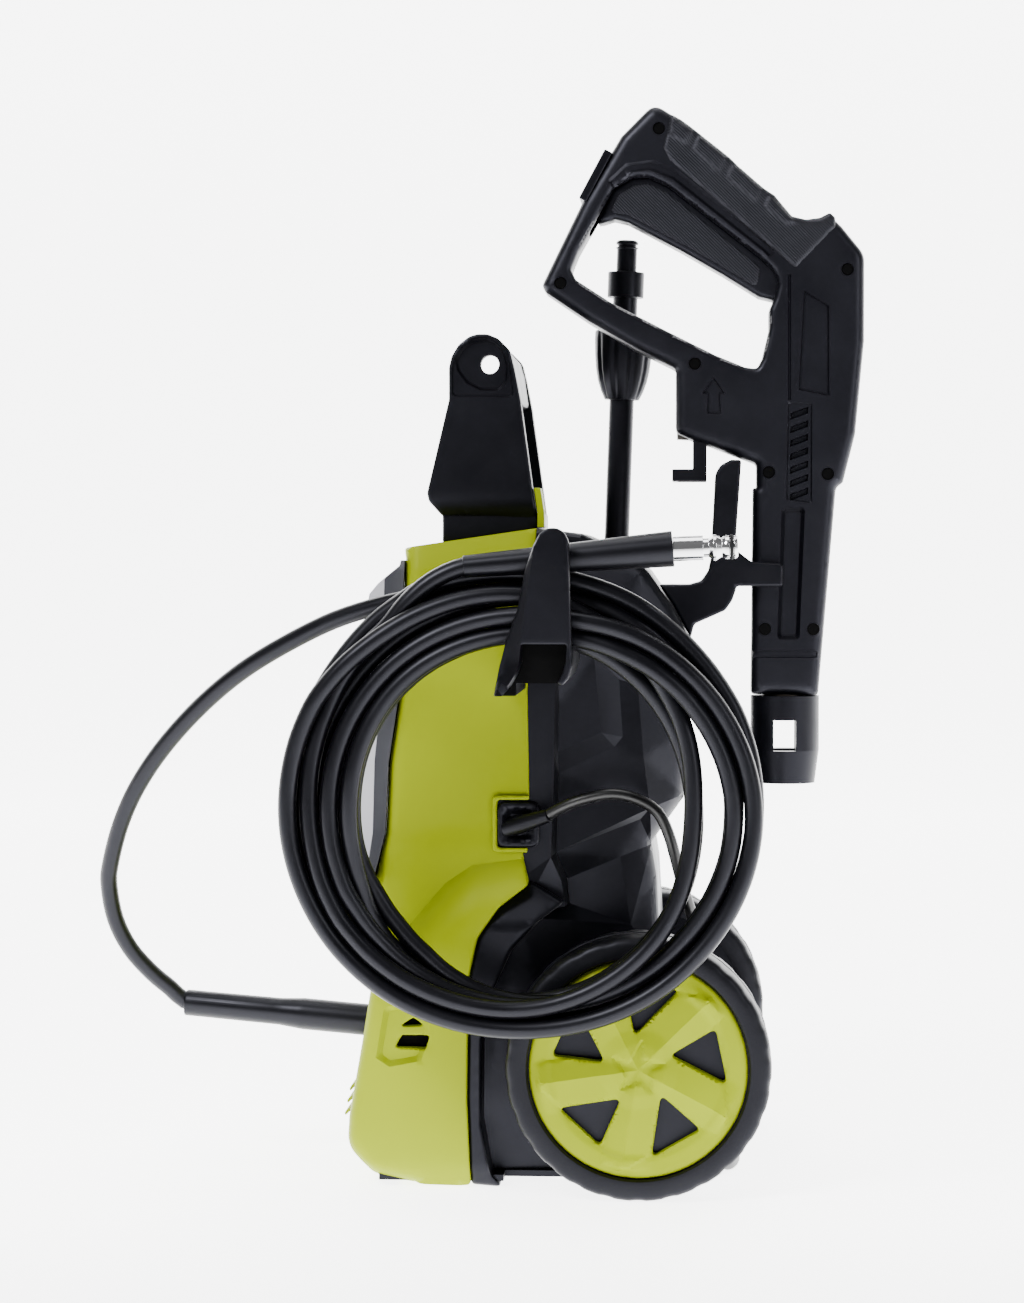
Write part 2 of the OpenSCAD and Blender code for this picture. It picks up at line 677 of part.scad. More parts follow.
module trigger_spring() {
    color("silver") slab(-4, 4) polygon([[150, 557], [156, 552.4], [163, 561], [157, 566]]);
}
module lock_slider() {
    color(dark) slab(-gun_half, gun_half)
        polygon([on_butt(0, -2.2), on_butt(32, -2.2), on_butt(32, 2.7), on_butt(0, 2.7)]);
}
module release_lever() {
    color(shell_grey) {
        for (side = [-1, 1])
            slab(side * 12.5 - 1.5, side * 12.5 + 1.5) polygon([[135, 397], [155, 397], [155, 432],
                [147, 432], [147, 404], [135, 404]]);
        slab(-14, 14) polygon([[135, 397], [138, 397], [138, 404], [135, 404]]);
    }
}
module outlet_collar() {
    color(dark) difference() {
        union() {
            rod_z([barrel_x, 0, 240], 20, 31.9);
            translate([barrel_x, 0, 221]) rotate_extrude() polygon([[0, 0], [17.5, 0], [20, 19.5],
                [0, 19.5]]);
        }
        rod_z([barrel_x, 0, 215], bayonet_r, 50);
        rod_z([barrel_x, 0, 262], 13.1, 20);
        translate([barrel_x - 7, -25, 240]) cube([13, 50, 18]);
    }
}
module gun_screws() {
    color("black") for (at = gun_screw_at) {
        rod_y(at[0], at[1], 3.5, -gun_half + 1, -gun_half + 2.5);
        rod_y(at[0], at[1], 1.6, -gun_half + 2.4, gun_half - 6);
    }
}

module lance_tube() {
    color(dark) lance_frame() rod_z([0, 0, -131.7], lance_r, 229.7);
}
module lance_bayonet() {
    color(shell_grey) lance_frame() {
        rod_z([0, 0, 98], lance_r, 58);
        rod_z([0, 0, 141], 10.8, 15);
        rotate_extrude() polygon([[0, 156], [6, 156], [6, 170], [6.6, 170.2], [6.6, 171],
            [5.6, 171], [5.6, 172.6], [6.6, 172.6], [6.6, 174], [5.6, 175], [0, 175]]);
    }
}
module lance_collar() {
    color(dark) lance_frame() difference() {
        rotate_extrude() polygon([[lance_r, 80], [10.4, 80], [14.7, 91], [16.5, 100], [17.4, 114],
            [17.4, 121], [lance_r, 121]]);
        rod_z([0, 0, 70], lance_r, 60);
    }
}
module lance_nozzle() {
    color("black") lance_frame() rotate_extrude() polygon([[0, -150], [6, -150], [11.6, -144],
        [11.6, -120], [lance_r + running_gap, -118], [lance_r + running_gap, -132], [0, -132]]);
}

front_cover();
rear_cover();
front_panel();
panel_trim();
base_tray();
front_foot();
axle();
axle_clips();
carry_handle();
handle_trim();
hose_hanger();
casing_screws();
gun_bracket();
lance_socket();
cord_grommet();
strain_relief();
power_cord();
cord_coil();
mains_plug();
hose_lead();
hose_coil();
hose_tail();
outlet_sleeve();
connector_sleeve();
hose_nipple();
nipple_oring();
outlet_pipe();
pump_head();
swash_housing();
piston_springs();
motor_can();
water_inlet();
switch_body();
near_wheel();
near_wheel_cover();
far_wheel();
far_wheel_cover();
rotor_core();
rotor_shaft();
cooling_fan();
swash_plate();
piston_1();
piston_2();
piston_3();
gun_shell_near();
gun_shell_far();
grip_overmould();
gun_valve();
valve_stem();
trigger();
trigger_spring();
lock_slider();
release_lever();
outlet_collar();
gun_screws();
lance_tube();
lance_bayonet();
lance_collar();
lance_nozzle();
switch_knob();
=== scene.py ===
import math
import bpy
import bmesh
import numpy as np
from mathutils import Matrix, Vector
from mathutils.geometry import delaunay_2d_cdt


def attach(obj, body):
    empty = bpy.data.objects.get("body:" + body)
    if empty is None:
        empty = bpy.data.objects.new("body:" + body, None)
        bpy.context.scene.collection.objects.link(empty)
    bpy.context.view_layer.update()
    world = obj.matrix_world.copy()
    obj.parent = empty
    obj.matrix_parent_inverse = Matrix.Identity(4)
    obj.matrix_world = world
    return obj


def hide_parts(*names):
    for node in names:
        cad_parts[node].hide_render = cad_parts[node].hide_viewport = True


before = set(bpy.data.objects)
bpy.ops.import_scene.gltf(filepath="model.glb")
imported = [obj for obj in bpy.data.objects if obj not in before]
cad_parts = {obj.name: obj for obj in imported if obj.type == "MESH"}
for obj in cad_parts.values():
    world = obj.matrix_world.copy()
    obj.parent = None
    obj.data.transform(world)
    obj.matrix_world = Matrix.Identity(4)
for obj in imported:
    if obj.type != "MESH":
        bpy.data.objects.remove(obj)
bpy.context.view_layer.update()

MM = 0.001
# The side of Y that a piece lies on, and the word for it.
BOTH = ((-1, "near"), (1, "far"))


# ---- materials

def material(name, color, rough, metal=0.0, grain=0.3, grain_scale=900.0, vary=0.06,
             pattern=None, spec=0.5, tint=(1.0, 1.0, 1.0)):
    m = bpy.data.materials.new(name)
    m.use_nodes = True
    nodes, links = m.node_tree.nodes, m.node_tree.links
    shader = nodes["Principled BSDF"]
    shader.inputs["Base Color"].default_value = (*color, 1.0)
    shader.inputs["Metallic"].default_value = metal
    shader.inputs["Roughness"].default_value = rough
    shader.inputs["Specular IOR Level"].default_value = spec
    shader.inputs["Specular Tint"].default_value = (*tint, 1.0)
    where = nodes.new("ShaderNodeTexCoord")
    patches = nodes.new("ShaderNodeTexNoise")
    patches.inputs["Scale"].default_value = 30.0
    patches.inputs["Detail"].default_value = 6.0
    links.new(where.outputs["Object"], patches.inputs["Vector"])
    spread = nodes.new("ShaderNodeMapRange")
    spread.inputs["From Min"].default_value = 0.3
    spread.inputs["From Max"].default_value = 0.7
    spread.inputs["To Min"].default_value = max(0.02, rough - vary)
    spread.inputs["To Max"].default_value = min(1.0, rough + vary)
    links.new(patches.outputs["Fac"], spread.inputs["Value"])
    links.new(spread.outputs["Result"], shader.inputs["Roughness"])
    fine = nodes.new("ShaderNodeTexNoise")
    fine.inputs["Scale"].default_value = grain_scale
    fine.inputs["Detail"].default_value = 2.0
    links.new(where.outputs["Object"], fine.inputs["Vector"])
    bump = nodes.new("ShaderNodeBump")
    bump.inputs["Strength"].default_value = grain
    bump.inputs["Distance"].default_value = 0.0001
    links.new(fine.outputs["Fac"], bump.inputs["Height"])
    if pattern:
        wave = nodes.new("ShaderNodeTexWave")
        wave.inputs["Scale"].default_value = pattern[0]
        wave.bands_direction = pattern[1]
        links.new(where.outputs["Object"], wave.inputs["Vector"])
        ribs = nodes.new("ShaderNodeBump")
        ribs.inputs["Strength"].default_value = pattern[2]
        ribs.inputs["Distance"].default_value = 0.0003
        links.new(wave.outputs["Fac"], ribs.inputs["Height"])
        links.new(bump.outputs["Normal"], ribs.inputs["Normal"])
        bump = ribs
    links.new(bump.outputs["Normal"], shader.inputs["Normal"])
    return m


LIME = material("lime_moulded", (0.215, 0.262, 0.0), 0.42, grain=0.10, vary=0.05, spec=0.14,
                tint=(1.0, 1.0, 0.4))
BLACK = material("black_moulded", (0.0007, 0.0007, 0.0013), 0.38, grain=0.22, vary=0.06, spec=0.21,
                 tint=(0.82, 0.83, 1.0))
SILVER = material("panel_silver_paint", (0.46, 0.46, 0.49), 0.36, metal=0.10, grain=0.12)
GREY = material("trim_grey_moulded", (0.030, 0.031, 0.038), 0.42, grain=0.2)
GUN = material("gun_moulded", (0.0011, 0.0011, 0.0020), 0.40, grain=0.30, vary=0.05, spec=0.26,
               tint=(0.82, 0.83, 1.0))
GRIP = material("grip_rubber_diagonal", (0.0011, 0.0011, 0.0019), 0.46, grain=0.4, grain_scale=1800.0,
                spec=0.34, tint=(0.84, 0.85, 1.0), pattern=(330.0, "DIAGONAL", 0.55))
TYRE = material("tyre_rubber", (0.0008, 0.0008, 0.0013), 0.46, grain=0.45, grain_scale=650.0, vary=0.07,
                spec=0.20, tint=(0.84, 0.85, 1.0))
HOSE = material("hose_rubber", (0.0008, 0.0008, 0.0013), 0.36, grain=0.16, grain_scale=1500.0, vary=0.05,
                spec=0.23, tint=(0.85, 0.86, 1.0))
LEAD = material("lead_sheath", (0.0009, 0.0009, 0.0013), 0.36, grain=0.15, vary=0.06)
RUBBER = material("foot_rubber_matte", (0.002, 0.002, 0.003), 0.60, grain=0.4, spec=0.2)
CHROME = material("chrome_plate", (0.80, 0.80, 0.82), 0.12, metal=1.0, grain=0.03, vary=0.04)
STEEL = material("zinc_plate", (0.46, 0.46, 0.48), 0.34, metal=1.0, grain=0.15, vary=0.1)
ALU = material("die_cast_aluminium", (0.50, 0.50, 0.51), 0.48, metal=1.0, grain=0.6)
BRASS = material("turned_brass", (0.52, 0.36, 0.13), 0.28, metal=1.0, grain=0.1)
BRASS_DARK = material("nickel_black_brass", (0.035, 0.030, 0.024), 0.40, metal=0.6, grain=0.1)
COPPER = material("lacquered_copper", (0.30, 0.09, 0.03), 0.30, metal=0.7, pattern=(220.0, "Z", 0.5))
CERAMIC = material("white_ceramic", (0.72, 0.71, 0.67), 0.15, grain=0.02)
# DARK is near black that stands for shade, not a surface colour: painted shade in the louvre and hanger
# hollows and on the gun's screw heads.
DARK = material("slot_shadow_black", (0.0003, 0.0003, 0.0004), 0.7, grain=0.2, spec=0.05)


# ---- building helpers

def put(name, verts, faces, mat, body, slot, replaces=(), sharp=32.0, smooth=True, weld=0.0):
    mesh = bpy.data.meshes.new(name)
    mesh.from_pydata([tuple(v) for v in verts], [], [tuple(f) for f in faces])
    bm = bmesh.new()
    bm.from_mesh(mesh)
    if weld:
        bmesh.ops.remove_doubles(bm, verts=bm.verts, dist=weld)
    bmesh.ops.recalc_face_normals(bm, faces=bm.faces)
    bm.to_mesh(mesh)
    bm.free()
    if smooth:
        mesh.shade_smooth()
        mesh.set_sharp_from_angle(angle=math.radians(sharp))
    mesh.materials.append(mat)
    obj = bpy.data.objects.new(name, mesh)
    bpy.context.scene.collection.objects.link(obj)
    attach(obj, body)
    if replaces:
        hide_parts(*replaces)
    return obj


def arr(points):
    return np.array(points, float)


def resample(line, step, closed=True):
    """Points no further apart than step along a line, its corners kept."""
    line = arr(line)
    out = []
    n = len(line) if closed else len(line) - 1
    for i in range(n):
        a, b = line[i], line[(i + 1) % len(line)]
        k = max(1, int(math.ceil(np.linalg.norm(b - a) / step)))
        for j in range(k):
            out.append(a + (b - a) * j / k)
    if not closed:
        out.append(line[-1])
    return np.array(out)


def rounded(poly, radius, steps=4):
    """A polygon with its corners rounded, as far as its sides allow."""
    poly = arr(poly)
    n = len(poly)
    radii = radius if hasattr(radius, "__len__") else [radius] * n
    out = []
    for i in range(n):
        p, a, b = poly[i], poly[i - 1], poly[(i + 1) % n]
        u, v = a - p, b - p
        lu, lv = np.linalg.norm(u), np.linalg.norm(v)
        u, v = u / lu, v / lv
        turn = math.acos(max(-1.0, min(1.0, float(u @ v))))
        if turn > math.radians(172) or radii[i] <= 0:
            out.append(p)
            continue
        cut = min(radii[i] / math.tan(turn / 2), lu * 0.45, lv * 0.45)
        for k in range(steps + 1):
            t = k / steps
            out.append((1 - t) ** 2 * (p + u * cut) + 2 * t * (1 - t) * p + t * t * (p + v * cut))
    return np.array(out)


def distance(points, line, closed=True):
    line = arr(line)
    a = line if closed else line[:-1]
    b = np.roll(line, -1, axis=0) if closed else line[1:]
    best = np.full(len(points), 1e9)
    for p, q in zip(a, b):
        d = q - p
        t = np.clip(((points - p) @ d) / max(float(d @ d), 1e-12), 0, 1)
        best = np.minimum(best, np.linalg.norm(points - (p + t[:, None] * d), axis=1))
    return best


def inside(points, poly):
    x, z = points[:, 0], points[:, 1]
    odd = np.zeros(len(points), bool)
    poly = arr(poly)
    for p, q in zip(poly, np.roll(poly, -1, axis=0)):
        cross = (p[1] > z) != (q[1] > z)
        with np.errstate(divide="ignore", invalid="ignore"):
            odd ^= cross & (x < (q[0] - p[0]) * (z - p[1]) / (q[1] - p[1]) + p[0])
    return odd


def parallels(line, closed, d):
    """Points at distance d on both sides of a line."""
    line = resample(line, 3.0, closed)
    ahead = np.roll(line, -1, axis=0) - line
    behind = line - np.roll(line, 1, axis=0)
    if not closed:
        ahead[-1], behind[0] = behind[-1], ahead[0]
    t = ahead + behind
    t /= np.maximum(np.linalg.norm(t, axis=1), 1e-9)[:, None]
    n = np.stack([-t[:, 1], t[:, 0]], 1)
    return np.concatenate([line + n * d, line - n * d])


def relief(name, outline, height, mat, body, slot, holes=(), edges=(), steps=(), creases=(), grid=6.0,
           back=0.0, sides=(-1,), replaces=(), sharp=32.0, step=3.0, gap=None):
    """A moulding seen from the side: an outline in X and Z whose skin stands at a height along Y.
    edges are (line, closed, radius) that the skin rounds over to, steps are (polygon, rise, wall width),
    gap is (polygon, depth) where the side walls stop short and leave room for a part that moves inside."""
    outline = resample(outline, step)
    holes = [resample(h, min(step, 2.5)) for h in holes]
    steps = [(resample(p, 1.6), rise, wall) for p, rise, wall in steps]
    bounds_lines = [outline, *holes]
    lines = [(o, True) for o in bounds_lines]
    lines += [(resample(c, step, False), False) for c in creases]

    def on_skin(q):
        keep = inside(q, outline)
        for h in holes:
            keep &= ~inside(q, h)
        return keep

    extra = []
    for line, closed, radius in edges:
        for share in (0.06, 0.2, 0.42, 0.7, 1.0):
            q = parallels(line, closed, radius * share)
            keep = on_skin(q) & (distance(q, line, closed) > radius * share * 0.9)
            extra.append(q[keep])
    inner = []
    for p, rise, wall in steps:
        lines.append((p, True))
        q = parallels(p, True, wall)
        keep = inside(q, p) & (distance(q, p) > wall * 0.97)
        inner.append(q[keep])
    lo, hi = outline.min(0), outline.max(0)
    xs, zs = np.arange(lo[0], hi[0], grid), np.arange(lo[1], hi[1], grid * 0.866)
    lattice = np.array([(x + (grid / 2 if k % 2 else 0), z) for k, z in enumerate(zs) for x in xs])
    lattice = lattice[on_skin(lattice)]
    for o in bounds_lines:
        lattice = lattice[distance(lattice, o) > grid * 0.35]
    extra = np.concatenate(extra + inner + [lattice]) if extra or inner or len(lattice) else lattice
    for o in bounds_lines:
        extra = extra[distance(extra, o) > 0.12]
    coords, constraint = [], []
    for line, closed in lines:
        first = len(coords)
        coords += [tuple(p) for p in line]
        n = len(line)
        constraint += [(first + i, first + (i + 1) % n) for i in range(n if closed else n - 1)]
    coords += [tuple(p) for p in extra]
    points, _, tris, *_ = delaunay_2d_cdt([Vector(c) for c in coords], constraint, [], 0, 0.02)
    points = np.array([tuple(p) for p in points])
    tris = np.array([t for t in tris if len(t) == 3])
    mid = points[tris].mean(1)
    tris = tris[on_skin(mid)]
    h = height(points) if callable(height) else np.full(len(points), float(height))
    drop = np.zeros(len(points))
    for line, closed, radius in edges:
        d = np.minimum(distance(points, line, closed), radius)
        drop = np.maximum(drop, radius - np.sqrt(np.maximum(radius ** 2 - (radius - d) ** 2, 0)))
    for p, rise, wall in steps:
        d = distance(points, p)
        share = np.clip(d / wall, 0, 1) * inside(points, p)
        h = h + rise * share
    h = h - drop
    used = sorted({int(i) for t in tris for i in t})
    index = {v: k for k, v in enumerate(used)}
    points, h = points[used], h[used]
    tris = [[index[int(i)] for i in t] for t in tris]
    count = {}
    for t in tris:
        for a, b in ((t[0], t[1]), (t[1], t[2]), (t[2], t[0])):
            count[(a, b)] = count.get((a, b), 0) + 1
    rim = [(a, b) for (a, b) in count if (b, a) not in count]
    verts, faces = [], []
    for side in sides:
        base = len(verts)
        verts += [(x * MM, side * y * MM, z * MM) for (x, z), y in zip(points, h)]
        faces += [[base + i for i in t] for t in tris]
        walls = {}
        for a, b in rim:
            for i in (a, b):
                if i not in walls:
                    walls[i] = len(verts)
                    x, z = points[i]
                    depth = gap[1] if gap and inside(points[i:i + 1], gap[0])[0] else back
                    verts.append((x * MM, side * depth * MM, z * MM))
            faces.append((base + a, base + b, walls[b], walls[a]))
    return put(name, verts, faces, mat, body, slot, replaces, sharp,
               weld=2e-5 if len(sides) == 2 and back == 0 else 0.0)


def moulding(name, outline, height, **more):
    """A black piece of the casing."""
    return relief(name, outline, height, BLACK, "machine", "black_plastic", **more)


def circle(x, z, r, n=24):
    return [(x + r * math.cos(2 * math.pi * k / n), z + r * math.sin(2 * math.pi * k / n))
            for k in range(n)]


def dress(node, mat, body, width=0.6, segments=2, name=None, sharp=30.0):
    """The CAD node's own shape with its edges rounded, as a piece that stands for it."""
    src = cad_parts[node].data
    bm = bmesh.new()
    for v in src.vertices:
        bm.verts.new(v.co)
    bm.verts.ensure_lookup_table()
    for p in src.polygons:
        try:
            bm.faces.new([bm.verts[i] for i in p.vertices])
        except ValueError:
            pass
    bmesh.ops.remove_doubles(bm, verts=bm.verts, dist=2e-6)
    bmesh.ops.dissolve_limit(bm, angle_limit=math.radians(0.4), verts=bm.verts, edges=bm.edges)
    bmesh.ops.recalc_face_normals(bm, faces=bm.faces)
    mesh = bpy.data.meshes.new(name or node + "_look")
    bm.to_mesh(mesh)
    bm.free()
    mesh.shade_smooth()
    mesh.set_sharp_from_angle(angle=math.radians(sharp))
    mesh.materials.append(mat)
    obj = bpy.data.objects.new(name or node + "_look", mesh)
    bpy.context.scene.collection.objects.link(obj)
    if width:
        bevel = obj.modifiers.new("edge", "BEVEL")
        bevel.width = width * MM
        bevel.segments = segments
        bevel.limit_method = "ANGLE"
        bevel.angle_limit = math.radians(28)
        bevel.harden_normals = True
        bevel.use_clamp_overlap = True
    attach(obj, body)
    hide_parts(node)
    return obj


# ---- camera, light, floor

def aim(obj, target):
    obj.rotation_euler = (Vector(target) - obj.location).to_track_quat("-Z", "Y").to_euler()


cam = bpy.data.objects.new("camera", bpy.data.cameras.new("camera"))
bpy.context.scene.collection.objects.link(cam)
EYE = (0.1513, -1.8337, 0.3508)
TURNED, TIPPED = math.radians(3.45), math.radians(1.67)
ahead = (-math.sin(TURNED) * math.cos(TIPPED), math.cos(TURNED) * math.cos(TIPPED), -math.sin(TIPPED))
cam.location = EYE
aim(cam, [e + a for e, a in zip(EYE, ahead)])
cam.data.lens = 86.17
cam.data.sensor_width = 36.0
bpy.context.scene.camera = cam

world = bpy.data.worlds.new("studio")
bpy.context.scene.world = world
world.use_nodes = True
world.node_tree.nodes["Background"].inputs["Color"].default_value = (1.0, 1.0, 1.0, 1.0)
world.node_tree.nodes["Background"].inputs["Strength"].default_value = 0.18


def softbox(name, place, target, size, power, size_y=None):
    light = bpy.data.lights.new(name, "AREA")
    light.shape = "RECTANGLE"
    light.size, light.size_y = size, size_y or size
    light.energy = power
    obj = bpy.data.objects.new(name, light)
    obj.location = place
    bpy.context.scene.collection.objects.link(obj)
    aim(obj, target)
    return obj


softbox("key", (-1.0, -1.6, 1.9), (0.05, 0.0, 0.25), 0.8, 72.0, 0.8)
softbox("fill", (1.7, -1.5, 0.9), (0.1, 0.0, 0.3), 0.5, 15.0, 1.3)
softbox("top", (0.1, 0.0, 2.1), (0.1, 0.0, 0.2), 1.2, 22.0, 1.2)


def paper(name, glow, near, far):
    """White paper that glows behind the object and fades to plain paper in front of it."""
    m = bpy.data.materials.new(name)
    m.use_nodes = True
    nodes, links = m.node_tree.nodes, m.node_tree.links
    shader = nodes["Principled BSDF"]
    shader.inputs["Base Color"].default_value = (0.9, 0.9, 0.9, 1.0)
    shader.inputs["Roughness"].default_value = 0.85
    shader.inputs["Emission Color"].default_value = (1.0, 1.0, 1.0, 1.0)
    where = nodes.new("ShaderNodeTexCoord")
    axes = nodes.new("ShaderNodeSeparateXYZ")
    links.new(where.outputs["Object"], axes.inputs["Vector"])
    fade = nodes.new("ShaderNodeMapRange")
    fade.inputs["From Min"].default_value = near
    fade.inputs["From Max"].default_value = far
    fade.inputs["To Min"].default_value = 0.1
    fade.inputs["To Max"].default_value = glow
    links.new(axes.outputs["Y"], fade.inputs["Value"])
    links.new(fade.outputs["Result"], shader.inputs["Emission Strength"])
    return m


def sweep(name, half, front, back, bend, height, mat):
    """A floor that curves up into a wall behind the object."""
    line = [(front, 0.0), (-0.5, 0.0), (back - bend, 0.0)]
    for k in range(1, 17):
        t = math.pi / 2 * k / 16
        line.append((back - bend + bend * math.sin(t), bend - bend * math.cos(t)))
    line.append((back, height))
    verts = [(x, y, z) for y, z in line for x in (-half, half)]
    faces = [(2 * k, 2 * k + 1, 2 * k + 3, 2 * k + 2) for k in range(len(line) - 1)]
    mesh = bpy.data.meshes.new(name)
    mesh.from_pydata(verts, [], faces)
    mesh.shade_smooth()
    mesh.materials.append(mat)
    obj = bpy.data.objects.new(name, mesh)
    bpy.context.scene.collection.objects.link(obj)
    return obj


floor = sweep("floor", 8.0, -6.0, 4.0, 1.5, 6.0, paper("floor_paper", 5.0, -1.3, -0.2))


# ---- hose and mains lead

def bow(route, step):
    """A smooth line through the points of a route, with points about step apart."""
    r = arr(route)
    n = len(r) - 1
    out = []
    for i in range(n):
        a, b, c, d = r[max(i - 1, 0)], r[i], r[i + 1], r[min(i + 2, n)]
        k = max(1, int(round(np.linalg.norm(c - b) / step)))
        for j in range(k):
            t = j / k
            out.append(0.5 * (2 * b + (c - a) * t + (2 * a - 5 * b + 4 * c - d) * t * t
                              + (3 * b - a - 3 * c + d) * t ** 3))
    out.append(r[-1])
    return np.array(out)


def tube(name, path, diameter, mat, body, replaces=()):
    """A round cord as a curve whose own line is its centreline, in metres."""
    curve = bpy.data.curves.new(name, "CURVE")
    curve.dimensions = "3D"
    spline = curve.splines.new("POLY")
    spline.points.add(len(path) - 1)
    for point, co in zip(spline.points, path):
        point.co = (*co, 1.0)
    curve.bevel_depth = diameter / 2
    curve.bevel_resolution = 5
    curve.use_fill_caps = True
    curve.materials.append(mat)
    obj = bpy.data.objects.new(name, curve)
    bpy.context.scene.collection.objects.link(obj)
    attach(obj, body)
    if replaces:
        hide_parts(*replaces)
    return obj


# The free loop from the outlet sleeve. The hung turns and the end that rises to the connector follow it.
hose_loop = arr([(-0.134, -0.025, 0.0905), (-0.140, -0.025, 0.091), (-0.150, -0.026, 0.093),
                 (-0.158, -0.030, 0.101), (-0.168, -0.036, 0.111), (-0.179, -0.044, 0.126),
                 (-0.186, -0.052, 0.144), (-0.188, -0.060, 0.164), (-0.186, -0.066, 0.177),
                 (-0.178, -0.076, 0.201), (-0.166, -0.086, 0.224), (-0.148, -0.097, 0.248),
                 (-0.123, -0.110, 0.273), (-0.095, -0.123, 0.294), (-0.058, -0.136, 0.314),
                 (-0.031, -0.146, 0.324), (-0.005, -0.155, 0.330)])
COIL_AT = (0.056, 0.216)
# How far out the hung turns may lie, in mm.
HUNG_BETWEEN = (-177.5, -132)
# Where the hose lies on each turn of the coil: distance from the middle and depth, in mm.
RIGHT = [(114, -153), (124.5, -153), (124.5, -163.5), (114, -163.5), (92.5, -162), (113.5, -174),
         (124, -174), (92, -172.5)]
BOTTOM = [(116, -143.5), (116, -154), (116, -164.5), (105.5, -154), (105.5, -143.5), (105.5, -164.5),
          (116, -175), (105.5, -175)]
LEFT = [(103.6, -161), (125, -161), (114.3, -161), (93, -161), (93, -172), (103.6, -172), (125, -172),
        (114.3, -172)]
TOP = [(122.5, -158.5), (106, -161), (124, -159), (115.5, -161), (97, -161), (97, -172), (106.5, -172),
       (116, -172)]


def stations():
    """Angle wound so far, distance from the middle and depth, at eight places on every turn."""
    out = [(0.0, 124.0, -158.0)]
    for k in range(8):
        spots = [TOP[k], RIGHT[k], BOTTOM[k], LEFT[k]] + ([TOP[k + 1]] if k < 7 else [])
        for i, spot in enumerate(spots[:4]):
            out.append((360 * k + 25 + 90 * i, *spot))
            if i + 1 < len(spots):
                out.append((360 * k + 70 + 90 * i, *(np.add(spot, spots[i + 1]) / 2)))
    return arr(out + [(2845.5, 121, -172), (2870.5, 123.7, -167)])


def eased(x, xs, ys):
    """A smooth line through the stations."""
    i = np.clip(np.searchsorted(xs, x) - 1, 0, len(xs) - 2)
    slope = np.gradient(ys, xs)
    h = xs[i + 1] - xs[i]
    t = (x - xs[i]) / h
    return ((2 * t ** 3 - 3 * t ** 2 + 1) * ys[i] + (t ** 3 - 2 * t ** 2 + t) * h * slope[i]
            + (3 * t ** 2 - 2 * t ** 3) * ys[i + 1] + (t ** 3 - t ** 2) * h * slope[i + 1])


def wind_hose(gap=10.25, skip=20, rounds=200, push_share=0.35, pull_back=0.02, straighten=0.175,
              end_share=0.2):
    """The hung turns, pushed apart until no two of them lie closer than the hose is thick."""
    spots = stations()
    wound = np.append(np.arange(0, spots[-1, 0], 6.0), spots[-1, 0])
    r, y = eased(wound, spots[:, 0], spots[:, 1]), eased(wound, spots[:, 0], spots[:, 2])
    a = np.radians(115 - wound)
    line = np.stack([COIL_AT[0] / MM + r * np.cos(a), y, COIL_AT[1] / MM + r * np.sin(a)], 1)
    start = line.copy()
    own = start[2:] + start[:-2] - 2 * start[1:-1]
    near = abs(np.arange(len(line))[:, None] - np.arange(len(line) - 1)[None]) < skip
    for _ in range(rounds):
        legs = line[1:] - line[:-1]
        out = line[:, None] - line[None, :-1]
        t = np.clip((out * legs).sum(2) / (legs ** 2).sum(1), 0, 1)
        out -= t[..., None] * legs
        dist = np.linalg.norm(out, axis=2)
        push = np.where(near, 0.0, np.maximum(0, gap - dist)) / np.maximum(dist, 1e-6)
        step = (out * push[..., None]).sum(1) * push_share + (start - line) * pull_back
        step[1:-1] += (line[2:] + line[:-2] - 2 * line[1:-1] - own) * straighten
        step[[0, -1]] = 0
        step[1:3] *= end_share
        step[-3:-1] *= end_share
        line = line + step
        line[:, 1] = np.clip(line[:, 1], *HUNG_BETWEEN)
    return line * MM


hose_end = arr([(-0.005, -0.168, 0.329), (0.008, -0.168, 0.340), (0.025, -0.168, 0.3475),
                (0.045, -0.168, 0.3493)])
hose_path = bow(np.concatenate([hose_loop, wind_hose(), hose_end]), 0.005)
hose = tube("hose", hose_path, 0.010, HOSE, "machine",
            ("hose_lead", "hose_coil", "hose_tail"))

lead_run = arr([(0.068, -0.108, 0.210), (0.079, -0.112, 0.216), (0.091, -0.114, 0.220),
                (0.104, -0.115, 0.222), (0.117, -0.114, 0.219), (0.128, -0.112, 0.212),
                (0.134, -0.110, 0.200), (0.138, -0.107, 0.186), (0.142, -0.102, 0.170),
                (0.147, -0.094, 0.152), (0.150, -0.084, 0.134), (0.151, -0.076, 0.110),
                (0.151, -0.071, 0.075), (0.153, -0.068, 0.040), (0.158, -0.062, 0.016),
                (0.166, -0.050, 0.005), (0.171, -0.032, 0.0034), (0.172, 0.0, 0.0034),
                (0.172, 0.060, 0.0034), (0.172, 0.110, 0.0034), (0.168, 0.133, 0.0034),
                (0.156, 0.152, 0.0034), (0.138, 0.164, 0.0034), (0.122, 0.1695, 0.0034)])
# The coil of the lead: its middle, widest and tightest turns, first height and rise of a layer, in metres.
LEAD_AT = (0.108, 0.222)
LEAD_WIDE, LEAD_TIGHT = 0.052, 0.026
LEAD_LOW, LEAD_RISE = 0.0034, 0.0066
TURN_STEPS = 18
LAYER_STEPS = 4.1 * TURN_STEPS


